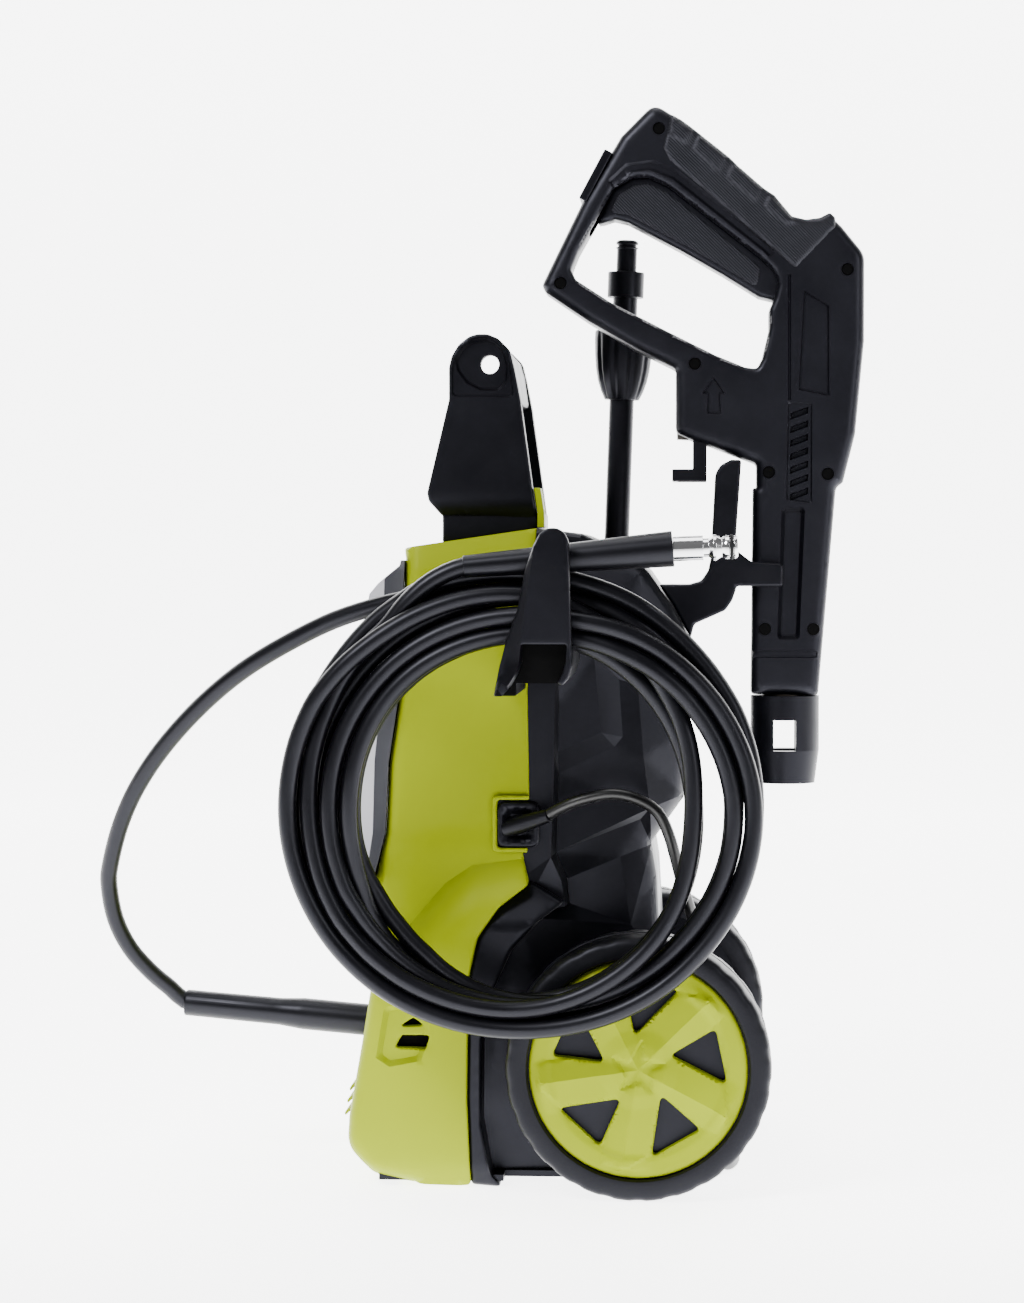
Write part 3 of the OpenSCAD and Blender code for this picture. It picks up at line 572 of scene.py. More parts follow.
def wind_lead(layers=4, climb=5):
    """Flat layers wound in and out, then most of a turn on top to where the plug's end leaves."""
    points = []
    a = math.radians(-90)
    for layer in range(layers):
        for k in range(int(LAYER_STEPS)):
            share = k / LAYER_STEPS
            r = LEAD_WIDE - (LEAD_WIDE - LEAD_TIGHT) * (share if layer % 2 == 0 else 1 - share)
            z = LEAD_LOW + LEAD_RISE * layer
            if layer and k < climb:
                z -= LEAD_RISE * (1 - k / climb)
            points.append((LEAD_AT[0] + r * math.cos(a), LEAD_AT[1] + r * math.sin(a), z))
            a -= 2 * math.pi / TURN_STEPS
    while math.sin(a) > -0.99:
        points.append((LEAD_AT[0] + LEAD_WIDE * math.cos(a), LEAD_AT[1] + LEAD_WIDE * math.sin(a),
                       LEAD_LOW + LEAD_RISE * (layers - 1)))
        a -= 2 * math.pi / TURN_STEPS
    return points


lead_end = arr([(0.104, 0.1698, 0.0225), (0.088, 0.170, 0.0185), (0.072, 0.170, 0.01630),
                (0.060, 0.170, 0.01625)])
lead_path = bow(np.concatenate([lead_run, arr(wind_lead()), lead_end]), 0.005)
lead = tube("mains_lead", lead_path, 0.0065, LEAD, "machine", ("power_cord", "cord_coil"))

plug = dress("mains_plug", LEAD, "machine", 0.5)
dress("strain_relief", HOSE, "machine", 0.3)
sleeve = dress("connector_sleeve", HOSE, "machine", 0.5, 3)
dress("outlet_sleeve", HOSE, "machine", 0.5, 3)
nipple = dress("hose_nipple", CHROME, "machine", 0.25)
oring = dress("nipple_oring", RUBBER, "machine", 0.0)

# ---- casing

SEAM = [(60, 369), (57, 320), (55, 278), (56, 217), (52, 189), (53, 183), (56, 170), (40, 158), (28, 141),
        (23, 118), (22, 51), (24, 1.5)]
SEAM_ROUND = [1, 8, 8, 6, 1.5, 1.5, 3, 14, 16, 20, 20, 3]
FRONT = [(-9, 2), (-31, 6), (-46, 22), (-45, 39), (-37, 84), (-33, 109), (-32.5, 140), (-32, 168),
         (-25, 198), (-23, 238), (-17, 278), (-14, 351), (-15, 358)]
FRONT_ROUND = [14, 16, 16, 10, 10, 10, 6, 4, 6, 8, 8, 4, 2]
CREASE = [(53.5, 184), (24, 180), (9, 170), (-4, 155), (-11, 146), (-33, 136)]


def lime_height(p):
    x, z = p[:, 0], p[:, 1]
    upper = np.interp(z, [0, 190, 200, 345, 372], [94, 94, 93, 92, 84])
    ridge = np.interp(x, [c[0] for c in CREASE[::-1]], [c[1] for c in CREASE[::-1]])
    t = np.clip((ridge - z) / 34, 0, 1)
    flare = 16 * (1 - (1 - t) ** 2.2) * np.interp(x, [-34, -10, 10], [0.85, 0.95, 1.0])
    low = np.interp(z, [1, 14, 30], [-6, -1, 0])
    front = -3.0 * np.clip((-8 - x) / 40, 0, 1) ** 1.5 * np.interp(z, [0, 110, 150, 200], [1, 1, 0.5, 0])
    return upper + flare + low + front


LOUVRE = [(-24.2, 101.9), (-29.1, 73.2), (-21.4, 68.4), (-3.2, 72.1), (1.7, 86.1), (0, 97), (-10, 104)]
SLOTS = [[(1.4, 86.1), (-14.4, 85.9), (-18.6, 78.9), (-1.1, 78.4)],
         [(-16.4, 90.6), (-8.1, 95.8), (-1.5, 91.4)]]
REAR = [(24, 1.5), (87, 3), (118, 12), (128, 30), (130, 120), (127, 173), (124, 191), (142, 216),
        (145, 262), (146, 306), (136, 325), (122, 345), (112, 354), (85, 366), (60, 369)]
# On the near side the seam goes round the square that the mains lead comes out of.
NOTCHED = SEAM[:4] + [(38, 217), (38, 190), (52, 190)] + SEAM[5:]
NOTCHED_ROUND = SEAM_ROUND[:3] + [1, 1, 1, 1] + SEAM_ROUND[5:]
SIDES = [(-1, "near", NOTCHED, NOTCHED_ROUND), (1, "far", SEAM, SEAM_ROUND)]
slots = [rounded(slot, 1.2, 3) for slot in SLOTS]
for side, word, seam, turns in SIDES:
    lime_line = rounded(seam + FRONT, turns + FRONT_ROUND, 6)
    seam_line = rounded(seam + FRONT, turns + [0] * len(FRONT), 6)[:-len(FRONT)]
    front_line = rounded(FRONT + seam, FRONT_ROUND + [0] * len(seam), 6)[:-len(seam)]
    relief("front_shell_" + word, lime_line, lime_height, LIME, "machine", "lime_plastic", holes=slots,
           edges=[(front_line, False, 8.0), (seam_line, False, 1.2)]
           + [(slot, True, 1.0) for slot in slots], creases=[CREASE[:5]], steps=[(LOUVRE, -3.2, 3.0)],
           grid=6.0, sides=(side,), replaces=("front_cover",) if side < 0 else (), sharp=28)
    # A near-black plate behind the louvre slots: painted shade for the dark hollow seen through them.
    relief("louvre_shade_plate_" + word, [(-24, 74), (5, 74), (5, 99), (-20, 99)], 99.0, DARK, "machine",
           "black_plastic", grid=8.0, back=97.0, sides=(side,))
for k in range(3):
    fin = [(-43 + k, 36.6 + 7 * k), (-43 + k, 39 + 7 * k), (-48 + 1.2 * k, 38 + 7 * k),
           (-51.8 + 1.4 * k, 34.4 + 7 * k), (-51.4 + 1.4 * k, 32.6 + 7 * k), (-48 + 1.2 * k, 35.6 + 7 * k)]
    relief(f"front_fin_{k + 1}", rounded(fin, 1.5, 3), 62.0, LIME, "machine", "lime_plastic",
           edges=[(rounded(fin, 1.5, 3), True, 0.5)], grid=4.0, sides=(-1, 1), sharp=50)

# Corners of the flat facets on the black side: X, Z and how far out they stand.
CORNERS = {"top_front": (40, 392, 92), "top": (90, 392, 86), "top_rear": (165, 392, 70),
           "edge_top": (72, 300, 91), "edge_a": (70.2, 272, 91), "edge_b": (69.8, 243, 91),
           "edge_c": (69.8, 229, 91), "edge_d": (68, 184.6, 91), "edge_e": (74, 171, 90),
           "edge_f": (76, 157, 90), "seam_foot": (20, 150, 91), "seam_top": (45, 300, 92),
           "a_front": (72.4, 271, 87), "b_front": (72, 243.5, 87), "a_top": (92, 298, 87),
           "ab": (96, 254.3, 86.5), "c_front": (72, 231, 81), "c_top": (103.5, 246, 81),
           "c_rear": (119.7, 240, 80), "c_foot": (123.5, 211.5, 79), "c_low": (70.6, 186.6, 83),
           "f_top": (106, 284, 81), "f_foot": (108, 251.7, 80.5), "f_rear": (116.4, 281, 79.5),
           "e_rear": (117.9, 204.8, 75), "e_foot": (106.7, 183.6, 74), "e_front": (76.6, 171, 76),
           "h_front": (78, 157, 75), "g_top": (124, 190, 69), "g_rear": (128, 174.6, 66),
           "g_foot": (112.4, 145, 73), "rear_top": (150, 330, 62), "rear_mid": (150, 262, 61),
           "rear_low": (142, 218, 63), "rear_foot": (134, 120, 66), "shoulder": (118, 345, 76),
           "well_top": (50, 150, 84), "well_front": (20, -10, 84), "well_foot": (90, -10, 79),
           "well_rear": (135, -10, 70)}
RIDGES = [["edge_top", "edge_a", "edge_b", "edge_c", "edge_d", "edge_e", "edge_f"],
          ["a_top", "a_front", "b_front", "c_front", "c_low", "e_front", "h_front", "g_foot"],
          ["b_front", "ab", "a_top", "f_top", "f_foot", "c_top", "c_front"], ["ab", "c_top"],
          ["ab", "f_foot"], ["c_top", "c_rear", "c_foot", "c_low"], ["f_foot", "c_rear", "f_rear", "f_top"],
          ["f_rear", "shoulder", "a_top"], ["c_rear", "c_foot"],
          ["c_foot", "rear_low", "rear_mid", "f_rear"], ["c_foot", "e_rear", "e_foot", "e_front"],
          ["e_foot", "g_foot", "g_top", "e_rear"], ["g_top", "g_rear", "g_foot"], ["c_foot", "g_top"],
          ["rear_low", "g_top"], ["shoulder", "rear_top", "rear_mid"], ["edge_top", "a_top"]]


def facets():
    """The triangles between the corners, which keep to the ridges."""
    names = list(CORNERS)
    at = {n: i for i, n in enumerate(names)}
    flat = [Vector(CORNERS[n][:2]) for n in names]
    fixed = [(at[a], at[b]) for line in RIDGES for a, b in zip(line, line[1:])]
    points, _, tris, *_ = delaunay_2d_cdt(flat, fixed, [], 0, 1e-6)
    points = np.array([tuple(q) for q in points])
    rise = arr([CORNERS[n][2] for n in names])
    source = np.array([[v.x, v.y] for v in flat])
    rise = rise[[int(np.argmin(np.linalg.norm(source - q, axis=1))) for q in points]]
    return points, rise, [t for t in tris if len(t) == 3]


FACET_POINTS, FACET_RISE, FACET_TRIS = facets()


def black_height(p):
    h = np.full(len(p), 80.0)
    for t in FACET_TRIS:
        a, b, c = FACET_POINTS[list(t)]
        d = (b[1] - c[1]) * (a[0] - c[0]) + (c[0] - b[0]) * (a[1] - c[1])
        if abs(d) < 1e-9:
            continue
        u = ((b[1] - c[1]) * (p[:, 0] - c[0]) + (c[0] - b[0]) * (p[:, 1] - c[1])) / d
        v = ((c[1] - a[1]) * (p[:, 0] - c[0]) + (a[0] - c[0]) * (p[:, 1] - c[1])) / d
        w = 1 - u - v
        hit = (u > -1e-6) & (v > -1e-6) & (w > -1e-6)
        h[hit] = u[hit] * FACET_RISE[t[0]] + v[hit] * FACET_RISE[t[1]] + w[hit] * FACET_RISE[t[2]]
    return h


folds = sorted({tuple(sorted(pair)) for t in FACET_TRIS
                for pair in ((t[0], t[1]), (t[1], t[2]), (t[2], t[0]))})
for side, word, seam, _ in SIDES:
    moulding("rear_shell_" + word, REAR + seam[1:-1], black_height, edges=[(REAR, False, 6.0)],
             creases=[[FACET_POINTS[a], FACET_POINTS[b]] for a, b in folds], grid=5.0, sides=(side,),
             replaces=("rear_cover",) if side < 0 else (), sharp=12)

ARCH = [(56, 171), (62, 168), (76, 160), (62, 150), (47, 134), (36, 110), (30.5, 84), (30, 37), (35, 8),
        (42, 0)]
arch_line = rounded(SEAM[6:] + ARCH[::-1], SEAM_ROUND[6:] + [2, 8, 14, 20, 20, 20, 14, 2, 6, 3], 6)


def arch_height(p):
    return np.interp(p[:, 1], [0, 12, 148, 160, 172], [101, 107, 107, 101, 93])


for side, word in BOTH:
    moulding("arch_lip_" + word, arch_line, arch_height, edges=[(arch_line, True, 2.4)], grid=5.0,
             back=70.0, sides=(side,), sharp=46)

CASING_PIECES = [("front_panel", SILVER, "panel_silver", 1.6, 3),
                 ("panel_trim", GREY, "trim_grey", 0.8, 2), ("base_tray", BLACK, "black_plastic", 0.6, 2),
                 ("front_foot", RUBBER, "foot_rubber", 1.0, 2),
                 ("handle_trim", LIME, "lime_plastic", 0.5, 2),
                 ("gun_bracket", BLACK, "black_plastic", 1.6, 3),
                 ("lance_socket", GUN, "gun_plastic", 0.6, 2),
                 ("water_inlet", BLACK, "black_plastic", 0.4, 2), ("axle", STEEL, "steel", 0.5, 2),
                 ("axle_clips", STEEL, "steel", 0.2, 2), ("casing_screws", STEEL, "steel", 0.2, 2)]
for node, mat, slot, width, steps in CASING_PIECES:
    dress(node, mat, "machine", width, steps)
dress("switch_knob", BLACK, "knob", 0.8)

# The carry handle: two flared arms on a narrower foot, and the hollow grip between their heads.
ARM = [(5, 376), (59, 373), (49.5, 442), (46, 460), (43.5, 470), (37, 476.5), (31, 479), (25, 479),
       (20.5, 477.7), (14.5, 473), (10.5, 466.5), (9, 460), (9, 442), (-3.5, 389), (-2.5, 384.5)]
ARM_ROUND = [2, 2, 3, 20, 8, 8, 8, 8, 8, 8, 8, 8, 6, 5, 5]
HEAD = [(10.6, 443.6), (46.2, 443.4), (44.0, 460), (42, 469.2), (36.2, 475.1), (30.7, 477.4), (25.4, 477.4),
        (21.2, 476.2), (15.6, 471.9), (12, 465.8), (10.6, 459.6)]
DISH = [(27, 447), (38, 447), (42.3, 453), (42.5, 461), (40.6, 468.3), (35.6, 474), (30.4, 476),
        (25.3, 476), (20.6, 474.6), (15.6, 470.6), (12.4, 464.6), (13.5, 458.5), (19, 451)]
GRIP_BAR = [(10.5, 442.5), (48, 442), (45.2, 461), (42.8, 469.5), (36.7, 475.8), (30.8, 478.4), (25, 478.4),
            (20.8, 477.1), (15, 472.6), (11.2, 466.3), (10, 459)]
GRIP_HOLE = [(17, 449), (42, 447.5), (41, 460), (38.5, 468), (34, 473.5), (30, 476.6), (25, 476.9),
             (20.5, 475.4), (16, 472), (13.5, 466), (13, 458)]
ARM_FOOT = [(5, 361), (59, 368.8), (59, 378.5), (5, 381.5)]


def arm_height(p):
    """A flat side whose foot curves under."""
    under = np.clip((390 - p[:, 1]) / 14, 0, 1)
    return 69.0 - 6.5 * (1 - np.sqrt(1 - np.minimum(under, 0.999) ** 2))


arm_line = rounded(ARM, ARM_ROUND, 5)
for side, word in BOTH:
    steps = [(rounded(HEAD, 3, 3), -1.4, 0.7), (rounded(DISH, 4, 3), -2.6, 1.4)]
    hole = circle(32, 462, 5.3, 32) if side < 0 else rounded(GRIP_HOLE, 4, 3)
    moulding("handle_arm_" + word, arm_line, arm_height, holes=[hole], edges=[(arm_line, True, 1.3)],
             steps=steps if side < 0 else [], grid=5.0, back=56.5, sides=(side,),
             replaces=("carry_handle",) if side < 0 else (), sharp=34)
moulding("handle_grip", rounded(GRIP_BAR, 3, 4), 57.0, holes=[rounded(GRIP_HOLE, 4, 3)], grid=12.0,
         sides=(-1, 1), sharp=40)
moulding("handle_foot", rounded(ARM_FOOT, 1, 2), 63.5, edges=[(ARM_FOOT, True, 1.0)], grid=8.0,
         sides=(-1, 1), sharp=40)

# The hose hanger: a plate with a bevelled left side, on a channel that is open below.
PLATE = [(46.5, 279), (51.5, 284.4), (55, 290.4), (57.2, 297), (57.5, 306.5), (81, 306.5), (80.5, 298),
         (79, 291.5), (76, 286), (79, 285), (82, 288.5), (84, 295), (83.2, 320), (82, 361), (80, 365.5),
         (76, 368), (71, 368), (66.5, 365), (63.5, 359), (58.8, 345.8), (54.8, 324.7), (48.2, 307.4),
         (45.5, 294.2), (42.2, 279)]
PLATE_ROUND = [1, 2, 4, 4, 1, 1, 4, 4, 2, 1, 4, 6, 20, 6, 6, 6, 6, 8, 12, 20, 20, 14, 10, 1]
CREST = [(44.5, 279), (49.8, 284.4), (53.8, 290.4), (56, 297), (56.9, 306.5), (58.4, 319.5), (61.1, 339.3),
         (64, 358), (67, 364)]
ARM_CHANNEL = [(42, 279), (54, 279), (54, 285), (57, 291), (57.5, 298), (80, 298), (79, 291.5), (76, 286),
               (79, 285), (82, 288.5), (84, 295), (84, 305.5), (48, 305.5), (45, 294)]
# Outline of a near-black plate across the hanger channel's open mouth: painted shade for the hollow inside.
HANGER_SHADE = [(45, 279.3), (54, 279.3), (54, 285.8), (76.3, 285.8), (79.6, 291.5), (81.5, 298), (81.8, 306.6),
       (57, 306.6), (56.6, 297), (53.8, 290.4), (50, 284.4)]


def plate_height(p):
    crest = np.interp(p[:, 1], [c[1] for c in CREST], [c[0] for c in CREST])
    left, right = np.maximum(crest - p[:, 0], 0), np.maximum(p[:, 0] - crest, 0)
    below = p[:, 1] < 306.4
    return np.maximum(192.0 - 1.0 * left - np.where(below & (p[:, 0] < 65), 2.4 * right, 0), 184.0)


moulding("hanger_plate", rounded(PLATE, PLATE_ROUND, 4), plate_height,
         edges=[(rounded(PLATE, PLATE_ROUND, 4)[20:], False, 1.2)], creases=[CREST[1:-1]], grid=4.0,
         back=183.0, sides=(-1,), replaces=("hose_hanger",), sharp=36)
moulding("hanger_channel", rounded(ARM_CHANNEL, [2, 1, 2, 4, 1, 1, 4, 2, 1, 3, 5, 1, 1, 8], 3), 184.0,
         grid=8.0, back=92.0, sides=(-1,), sharp=40)
# Painted shade: a near-black plate standing for the dark inside of the hanger channel.
relief("hanger_shade_plate", HANGER_SHADE, 184.6, DARK, "machine", "black_plastic", grid=8.0, back=183.4, sides=(-1,))
moulding("hanger_root", [(53, 286), (77, 286), (81, 300), (56, 300)], 96.0, grid=8.0, back=91.0,
         sides=(-1,), sharp=40)

# The socket that the mains lead comes out of.
GROMMET = [(38.4, 190.4), (61.6, 190.4), (61.6, 215.6), (38.4, 215.6)]
CUP = [(41, 193), (59, 193), (59, 213), (41, 213)]
grommet_line = rounded(GROMMET, 5, 5)
moulding("grommet_look", grommet_line, 96.6, edges=[(grommet_line, True, 1.4)],
         steps=[(rounded(CUP, 6, 5), -3.4, 4.0)], grid=3.0, back=90.0, sides=(-1,),
         replaces=("cord_grommet",), sharp=40)

BORDER = [(35.5, 187.5), (55, 187.5), (55, 190), (38.2, 190), (38.2, 217), (56, 217), (56, 219.5),
          (35.5, 219.5)]
border_line = rounded(BORDER, [3, 0.5, 0.5, 2, 2, 0.5, 0.5, 3], 3)
relief("grommet_border", border_line, 96.2, LIME, "machine", "lime_plastic",
       edges=[(border_line, True, 1.0)], grid=3.0, back=90.0, sides=(-1,), sharp=46)

# Pieces inside the casing.
for node, mat, slot in [("outlet_pipe", BRASS, "brass_fitting"), ("pump_head", ALU, "pump_aluminium"),
                        ("swash_housing", ALU, "pump_aluminium"), ("piston_springs", STEEL, "steel"),
                        ("motor_can", STEEL, "steel"), ("switch_body", BLACK, "black_plastic")]:
    dress(node, mat, "machine", 0.4)
for node, mat, slot in [("rotor_core", COPPER, "winding_lacquer"), ("rotor_shaft", STEEL, "steel"),
                        ("cooling_fan", BLACK, "black_plastic"), ("swash_plate", STEEL, "steel")]:
    dress(node, mat, "rotor", 0.3)
for k in (1, 2, 3):
    dress(f"piston_{k}", CERAMIC, f"piston_{k}_set", 0.3)

# ---- wheels

# The axle's place, a tyre's inner face and width, its lugs, their depth and the radius where they start.
WHEEL_AT = (118, 73)
TYRE_IN, TYRE_WIDE = 98, 42
LUGS = 26
TREAD_DEPTH = 0.5
TREAD_FROM = 66


def lathe_y(profile, n, at, side, wobble=None):
    """A turned shape on an axle along Y: profile is (radius, distance out), both in mm."""
    verts, faces = [], []
    m = len(profile)
    for k in range(n):
        a = 2 * math.pi * k / n
        for r, y in profile:
            rr = wobble(r, y, a) if wobble else r
            verts.append(((at[0] + rr * math.cos(a)) * MM, side * y * MM, (at[1] + rr * math.sin(a)) * MM))
    for k in range(n):
        for i in range(m - 1):
            a, b = k * m + i, ((k + 1) % n) * m + i
            faces.append((a, b, b + 1, a + 1))
    return verts, faces


def tyre_wobble(r, y, a):
    """Shallow lugs on the tread that change places between the tyre's two halves."""
    if r < TREAD_FROM:
        return r
    out = (y - TYRE_IN) / TYRE_WIDE
    phase = a * LUGS + (0 if out > 0.5 else math.pi)
    wave = 0.5 - 0.5 * math.tanh(4 * (math.cos(phase) + 0.45))
    weight = min(1.0, abs(out - 0.5) * 3.2) * min(1.0, (r - TREAD_FROM) / 5.0)
    return r - TREAD_DEPTH * wave * weight


tyre_profile = [(60.6, 124), (60.6, 138.6), (61.5, 139.8), (63, 140), (66, 140), (68, 139.9), (69.5, 139.6),
                (70.8, 138.9), (71.8, 137.8), (72.5, 136), (72.9, 133), (73, 129), (73, 125), (73, 121),
                (71.8, 120), (71.8, 118), (73, 117), (73, 112), (73, 107), (72.6, 103), (71.6, 101),
                (69.5, 99.2), (67, 98.2), (62, 98), (60.6, 99), (60.6, 124)]
# Distances from the axle, and how far out the wheel cover stands at each.
COVER_AT = [0, 14, 22, 47, 50, 57.5, 60]
COVER_OUT = [136.2, 136.4, 135.2, 135.6, 137.0, 137.6, 136.8]
# The way a spoke's ridge points.
RIDGE = (-0.164, -0.9865)
for side, word in BOTH:
    verts, faces = lathe_y(tyre_profile, LUGS * 12, WHEEL_AT, side, tyre_wobble)
    put(word + "_tyre", verts, faces, TYRE, word + "_wheel_set", "black_plastic", sharp=40)
    rim = [(5.4, 98), (14, 98), (14, 120), (58, 120), (60.8, 120), (60.8, 134), (59, 134), (58, 128),
           (14, 128), (14, 129), (5.4, 129), (5.4, 98)]
    verts, faces = lathe_y(rim, 96, WHEEL_AT, side)
    put(word + "_rim", verts, faces, BLACK, word + "_wheel_set", "black_plastic", (word + "_wheel",),
        sharp=35)

    def spin(points, k):
        a = math.radians(72 * k)
        return [(WHEEL_AT[0] + (x * math.cos(a) - z * math.sin(a)) * (1 if side < 0 else -1),
                 WHEEL_AT[1] + x * math.sin(a) + z * math.cos(a)) for x, z in points]

    window = rounded([(16.8, 7.6), (42.2, 22.4), (48.6, -8.2)], 2.4, 4)
    spoke = [(-14.5, -12.5), (-20.5, -53.2), (-9.4, -56.2), (7.6, -47), (12.5, -19.5), (2, -6)]

    def dish(p):
        x, z = (p[:, 0] - WHEEL_AT[0]) * (1 if side < 0 else -1), p[:, 1] - WHEEL_AT[1]
        r = np.hypot(x, z)
        skin = np.interp(r, COVER_AT, COVER_OUT)
        roof = np.zeros(len(p))
        for k in range(5):
            c, d = math.cos(math.radians(72 * k)), math.sin(math.radians(72 * k))
            u, v = x * c + z * d, z * c - x * d
            along, off = u * RIDGE[0] + v * RIDGE[1], v * RIDGE[0] - u * RIDGE[1]
            slopes = np.where(off > 0, 3.4 - 0.19 * off, 3.4 + 0.34 * off)
            roof = np.maximum(roof, np.where(along > 0, slopes, 3.4 - 0.34 * r))
        star = np.zeros(len(p))
        for k in range(5):
            arm = spin(spoke, k)
            star = np.maximum(star, np.clip(distance(p, arm) / 1.2, 0, 1) * inside(p, arm))
        return skin + (1.2 * star + np.maximum(roof, 0)) * np.clip((57 - r) / 3, 0, 1)

    relief(word + "_cover_look", circle(*WHEEL_AT, 60, 96), dish, LIME, word + "_wheel_set", "lime_plastic",
           holes=[spin(window, k) for k in range(5)], edges=[(circle(*WHEEL_AT, 60, 96), True, 1.6)]
           + [(spin(window, k), True, 0.7) for k in range(5)],
           creases=[spin([(0, 0), (54.5 * RIDGE[0], 54.5 * RIDGE[1])], k) for k in range(5)], grid=1.7,
           back=128.5, sides=(side,), replaces=(word + "_wheel_cover",), sharp=24)

# ---- spray gun

GUN_OUT = [(59, 511), (61, 507), (86, 490), (113, 474), (137, 462), (137, 425), (146, 421), (158, 417),
           (184, 407), (184, 393), (182, 393), (181, 273), (220, 272), (230, 393), (234, 396), (241, 424),
           (246, 478), (246, 528), (233, 544), (228, 549), (212, 548), (204, 550), (194, 562), (188, 566),
           (173, 579), (168, 584), (153, 596), (148, 600), (140, 606), (124, 616), (105, 597), (83, 560)]
GUN_HOLE = [(76, 520), (79, 514), (99, 501), (132, 484), (160, 470), (177, 463), (184, 462), (187, 468),
            (191, 485), (191, 496), (194, 503), (196, 511), (194, 518), (186, 526), (132, 568), (121, 573),
            (112, 573), (101, 567), (92, 551), (80, 530)]
SCREWS = [(127, 601), (70, 512), (236, 519), (148, 465), (191, 402), (225, 401), (189, 311), (217, 311)]
OVER = [(129, 590), (133, 582), (205, 520), (207, 520), (229, 543), (229, 549), (226, 552), (220, 549),
        (212, 548), (204, 550), (194, 562), (188, 566), (173, 579), (168, 584), (153, 596), (148, 600),
        (140, 606), (133, 610)]


def gun_height(p):
    """A flat side that thins down the barrel."""
    return np.interp(p[:, 1], [270, 300, 390, 410], [16.6, 16.6, 17.4, 18.0])


WELL_BORDER = [(101, 566), (112, 575.5), (122, 576.5), (135, 571.5), (187, 530), (191.5, 525.5), (195, 529),
               (192, 534), (138, 577), (124, 583), (108, 581), (97, 571)]
BARREL_BAND = [(182.6, 294.4), (219.2, 294.4), (219.6, 298.6), (182.8, 298.6)]
ARROW = [(158.7, 457.3), (152.3, 447.5), (155.6, 447.5), (155.2, 436), (163.2, 435.8), (162.6, 447.5),
         (165.6, 447.5)]
GUN_STEPS = [([(211, 507), (225.5, 498), (225.8, 446), (208, 449.5)], -1.7, 0.9),
             ([(202, 443), (216, 442), (216, 384), (201, 386)], -1.2, 0.8),
             ([(201.8, 516.3), (203.5, 516.3), (203.7, 443.6), (202, 443.6)], -1.0, 0.6),
             ([(198.5, 381.5), (212, 381.5), (209, 305), (196, 305)], -3.6, 2.2), (WELL_BORDER, -1.6, 1.6),
             (BARREL_BAND, -0.9, 0.5), (ARROW, -1.4, 0.5)]
for k in range(7):
    z = 387 + 7.8 * k
    GUN_STEPS.append(([(203.2, z - 1.6), (213.6, z + 2.2), (213.8, z + 6.2), (203.4, z + 2.4)], -3.4, 0.7))
for sx, sz in SCREWS:
    GUN_STEPS.append((circle(sx, sz, 3.7, 18), -2.6, 0.5))
# Where the trigger swings into the hollow grip, and the depth of the skin left there.
SWEEP_DEPTH = 12.0
SWEEP = [(86, 541), (100, 566), (113, 584), (134, 592), (212, 529), (207, 498), (184, 500), (140, 528),
         (108, 547)]
gun_line = rounded(GUN_OUT, [5, 5, 8, 8, 3, 5, 6, 6, 3, 3, 1, 2, 3, 12, 3, 16, 16, 12, 6, 2, 3, 3, 3, 3, 3,
                             3, 3, 3, 3, 8, 8, 8], 5)
hole_line = rounded(GUN_HOLE, 3.0, 3)
for side, word in BOTH:
    steps = GUN_STEPS if side < 0 else [s for s in GUN_STEPS if s[0] is not ARROW]
    relief("gun_body_" + word, gun_line, gun_height, GUN, "gun", "gun_plastic", holes=[hole_line],
           edges=[(gun_line, True, 6.0), (hole_line, True, 3.6)], steps=steps, grid=5.0,
           back=0.0, sides=(side,), replaces=("gun_shell_" + word,), sharp=34, gap=(SWEEP, SWEEP_DEPTH))


CROSS = [(-4, -1), (-1, -1), (-1, -4), (1, -4), (1, -1), (4, -1), (4, 1), (1, 1), (1, 4), (-1, 4), (-1, 1),
         (-4, 1)]


def screw_faces(radius=3.4, sunk=2.3, raised=0.25):
    """Screw heads at the bottom of their recesses in near black, as painted shade of the recess, with a
    lighter cross in each.
    """
    shaded_heads, slots = ([], []), ([], [])
    for sx, sz in SCREWS:
        deep = float(gun_height(arr([(sx, sz)]))[0]) - sunk
        marks = [(shaded_heads, circle(sx, sz, radius, 18), deep),
                 (slots, [(sx + (a - b) / 2, sz + (a + b) / 2) for a, b in CROSS], deep + raised)]
        for side in (-1, 1):
            for (verts, faces), shape, out in marks:
                first = len(verts)
                verts += [(x * MM, side * out * MM, z * MM) for x, z in shape]
                faces.append(tuple(range(first, first + len(shape))))
    put("gun_screw_shaded_heads", *shaded_heads, DARK, "gun", "steel", smooth=False)
    put("gun_screw_slots", *slots, GREY, "gun", "steel", smooth=False)


screw_faces()


def over_height(p):
    """Four finger rests along the back of the grip."""
    x, z = p[:, 0], p[:, 1]
    along = (x - 140) * 0.78 - (z - 606) * 0.62
    away = distance(p, [(133, 610), (229, 549)], False)
    rests = 0.6 * np.maximum(0, np.sin(along / 21.0 * 2 * math.pi)) * np.exp(-(away / 14.0) ** 2)
    return 19.2 + rests


PADS = [[(134, 608.5), (147.5, 599), (143.5, 591), (132, 597)],
        [(149.8, 597.5), (166.5, 584), (162.5, 574), (146, 588.5)],
        [(169.6, 581), (187, 565.5), (184, 557), (165.5, 572)],
        [(190.5, 563), (203, 550), (208, 546), (201, 544.5), (187.5, 554.5)]]
over_line = rounded(OVER, 2.0, 3)
for side, word in BOTH:
    relief("grip_" + word, over_line, over_height, GRIP, "gun", "grip_rubber",
           edges=[(over_line, True, 3.0)], steps=[(rounded(pad, 2, 3), 1.1, 1.6) for pad in PADS], grid=3.0,
           back=0.0, sides=(side,), replaces=("grip_overmould",) if side < 0 else (), sharp=50,
           gap=(SWEEP, SWEEP_DEPTH))

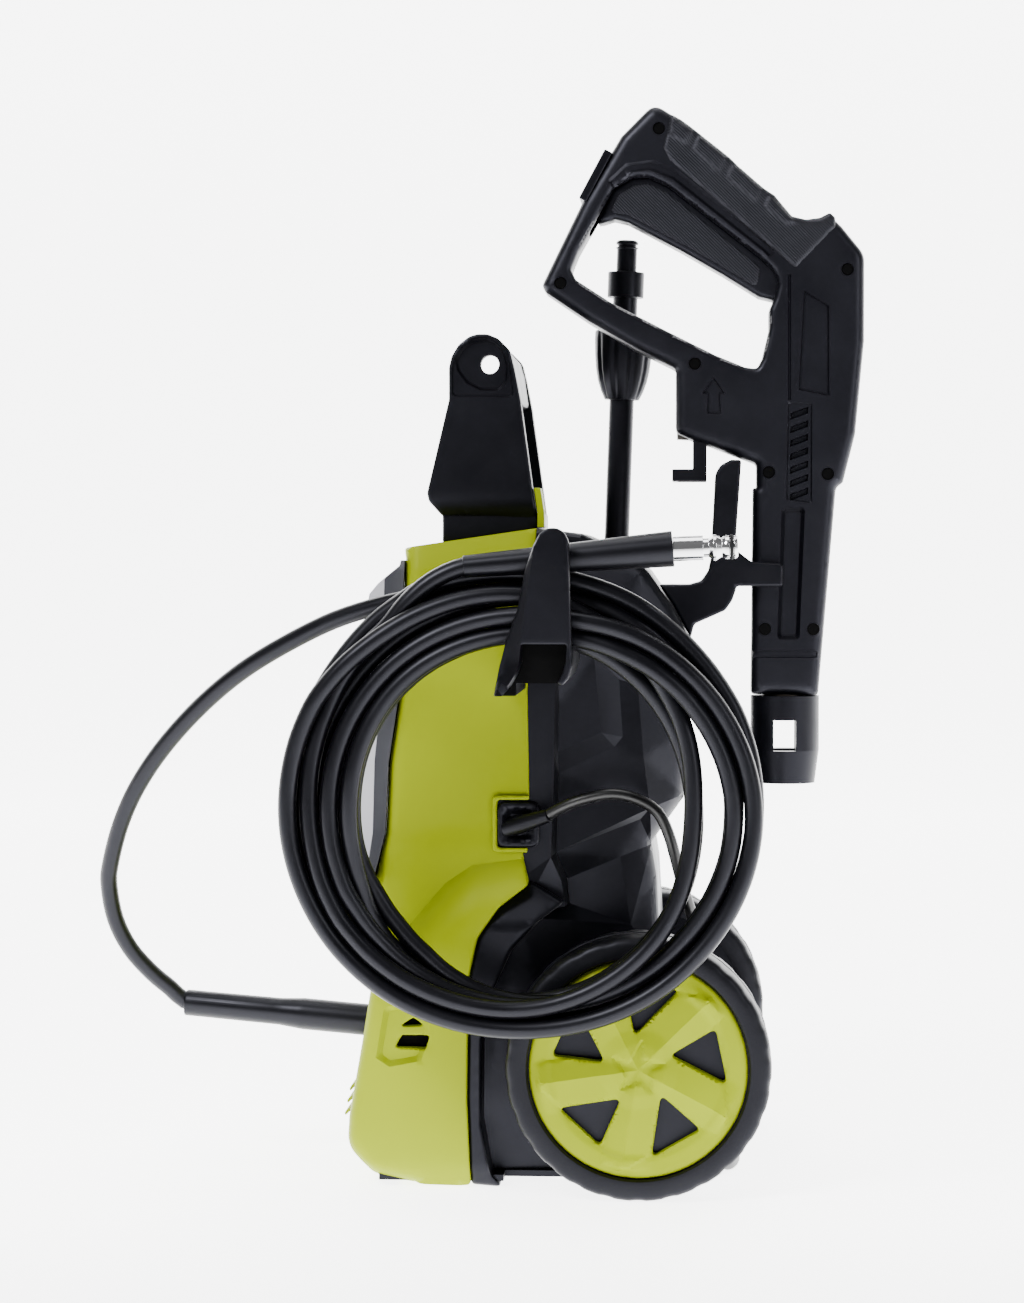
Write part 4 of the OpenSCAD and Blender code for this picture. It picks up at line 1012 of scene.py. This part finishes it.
TRIGGER = [(90, 546), (101, 549.5), (109, 547.5), (140, 531), (164, 517), (185, 504), (199, 500.5),
           (203, 512), (196, 520), (188, 527), (134, 569), (122, 575), (111, 574), (100, 567)]
trig_line = rounded(TRIGGER, 3.0, 3)
relief("trigger_look", trig_line, 11.0, GUN, "trigger_set", "gun_plastic", edges=[(trig_line, True, 3.0)],
       grid=5.0, sides=(-1, 1), replaces=("trigger",), sharp=40)
TRIGGER_PAD = [(98, 553), (108, 552), (112, 550), (142, 534), (166, 520), (184, 509), (186, 521),
               (133, 564), (121, 570), (112, 569), (103, 563)]
relief("trigger_pad", rounded(TRIGGER_PAD, 3, 3), 11.5, GRIP, "trigger_set", "gun_plastic",
       edges=[(rounded(TRIGGER_PAD, 3, 3), True, 0.5)], grid=6.0, sides=(-1, 1), back=10.0, sharp=40)

dress("gun_valve", BRASS_DARK, "gun", 0.3)
dress("valve_stem", STEEL, "stem", 0.2)
dress("trigger_spring", STEEL, "gun", 0.2)
dress("lock_slider", BLACK, "lock", 0.8)
dress("release_lever", BLACK, "release", 0.5)
dress("outlet_collar", BLACK, "gun", 0.7)
# The CAD screws in the near-black shadow material: painted shade on the screw heads in their recesses.
dress("gun_screws", DARK, "gun", 0.3)
dress("lance_tube", BLACK, "lance", 0.3)
dress("lance_bayonet", BLACK, "lance", 0.4)

# Where the lance's axis starts in mm, its lean, and the grooves round its collar.
LANCE_AT = (101.5, 38, 367)
LANCE_LEAN = math.radians(2)
GROOVES, GROOVE_DEPTH = 10, 0.9
COLLAR = [(7.4, 80), (10.2, 80), (10.6, 80.6), (12.8, 85), (14.8, 91), (16.2, 98), (17.1, 107), (17.5, 116),
          (17.4, 120), (16.8, 121), (7.4, 121)]


def lance_point(r, a, z):
    """A point round the lance's own axis, as a place in the frame."""
    x, y = r * math.cos(a), r * math.sin(a)
    c, s = math.cos(LANCE_LEAN), math.sin(LANCE_LEAN)
    return ((LANCE_AT[0] + x * c + z * s) * MM, (LANCE_AT[1] + y) * MM, (LANCE_AT[2] - x * s + z * c) * MM)


def grooved(r, a, z):
    """The collar's radius where its finger grooves cut in."""
    deep = GROOVE_DEPTH * max(0.0, math.cos(GROOVES * a)) ** 2 if 84 < z < 120 and r > 12 else 0.0
    return r - deep


count, rings = 120, len(COLLAR)
turns = [2 * math.pi * k / count for k in range(count)]
verts = [lance_point(grooved(r, a, z), a, z) for a in turns for r, z in COLLAR]
faces = [(k * rings + i, (k + 1) % count * rings + i, (k + 1) % count * rings + i + 1, k * rings + i + 1)
         for k in range(count) for i in range(rings - 1)]
put("lance_collar_look", verts, faces, BLACK, "lance", "black_plastic", ("lance_collar",), sharp=40)
dress("lance_nozzle", BLACK, "nozzle", 0.4)
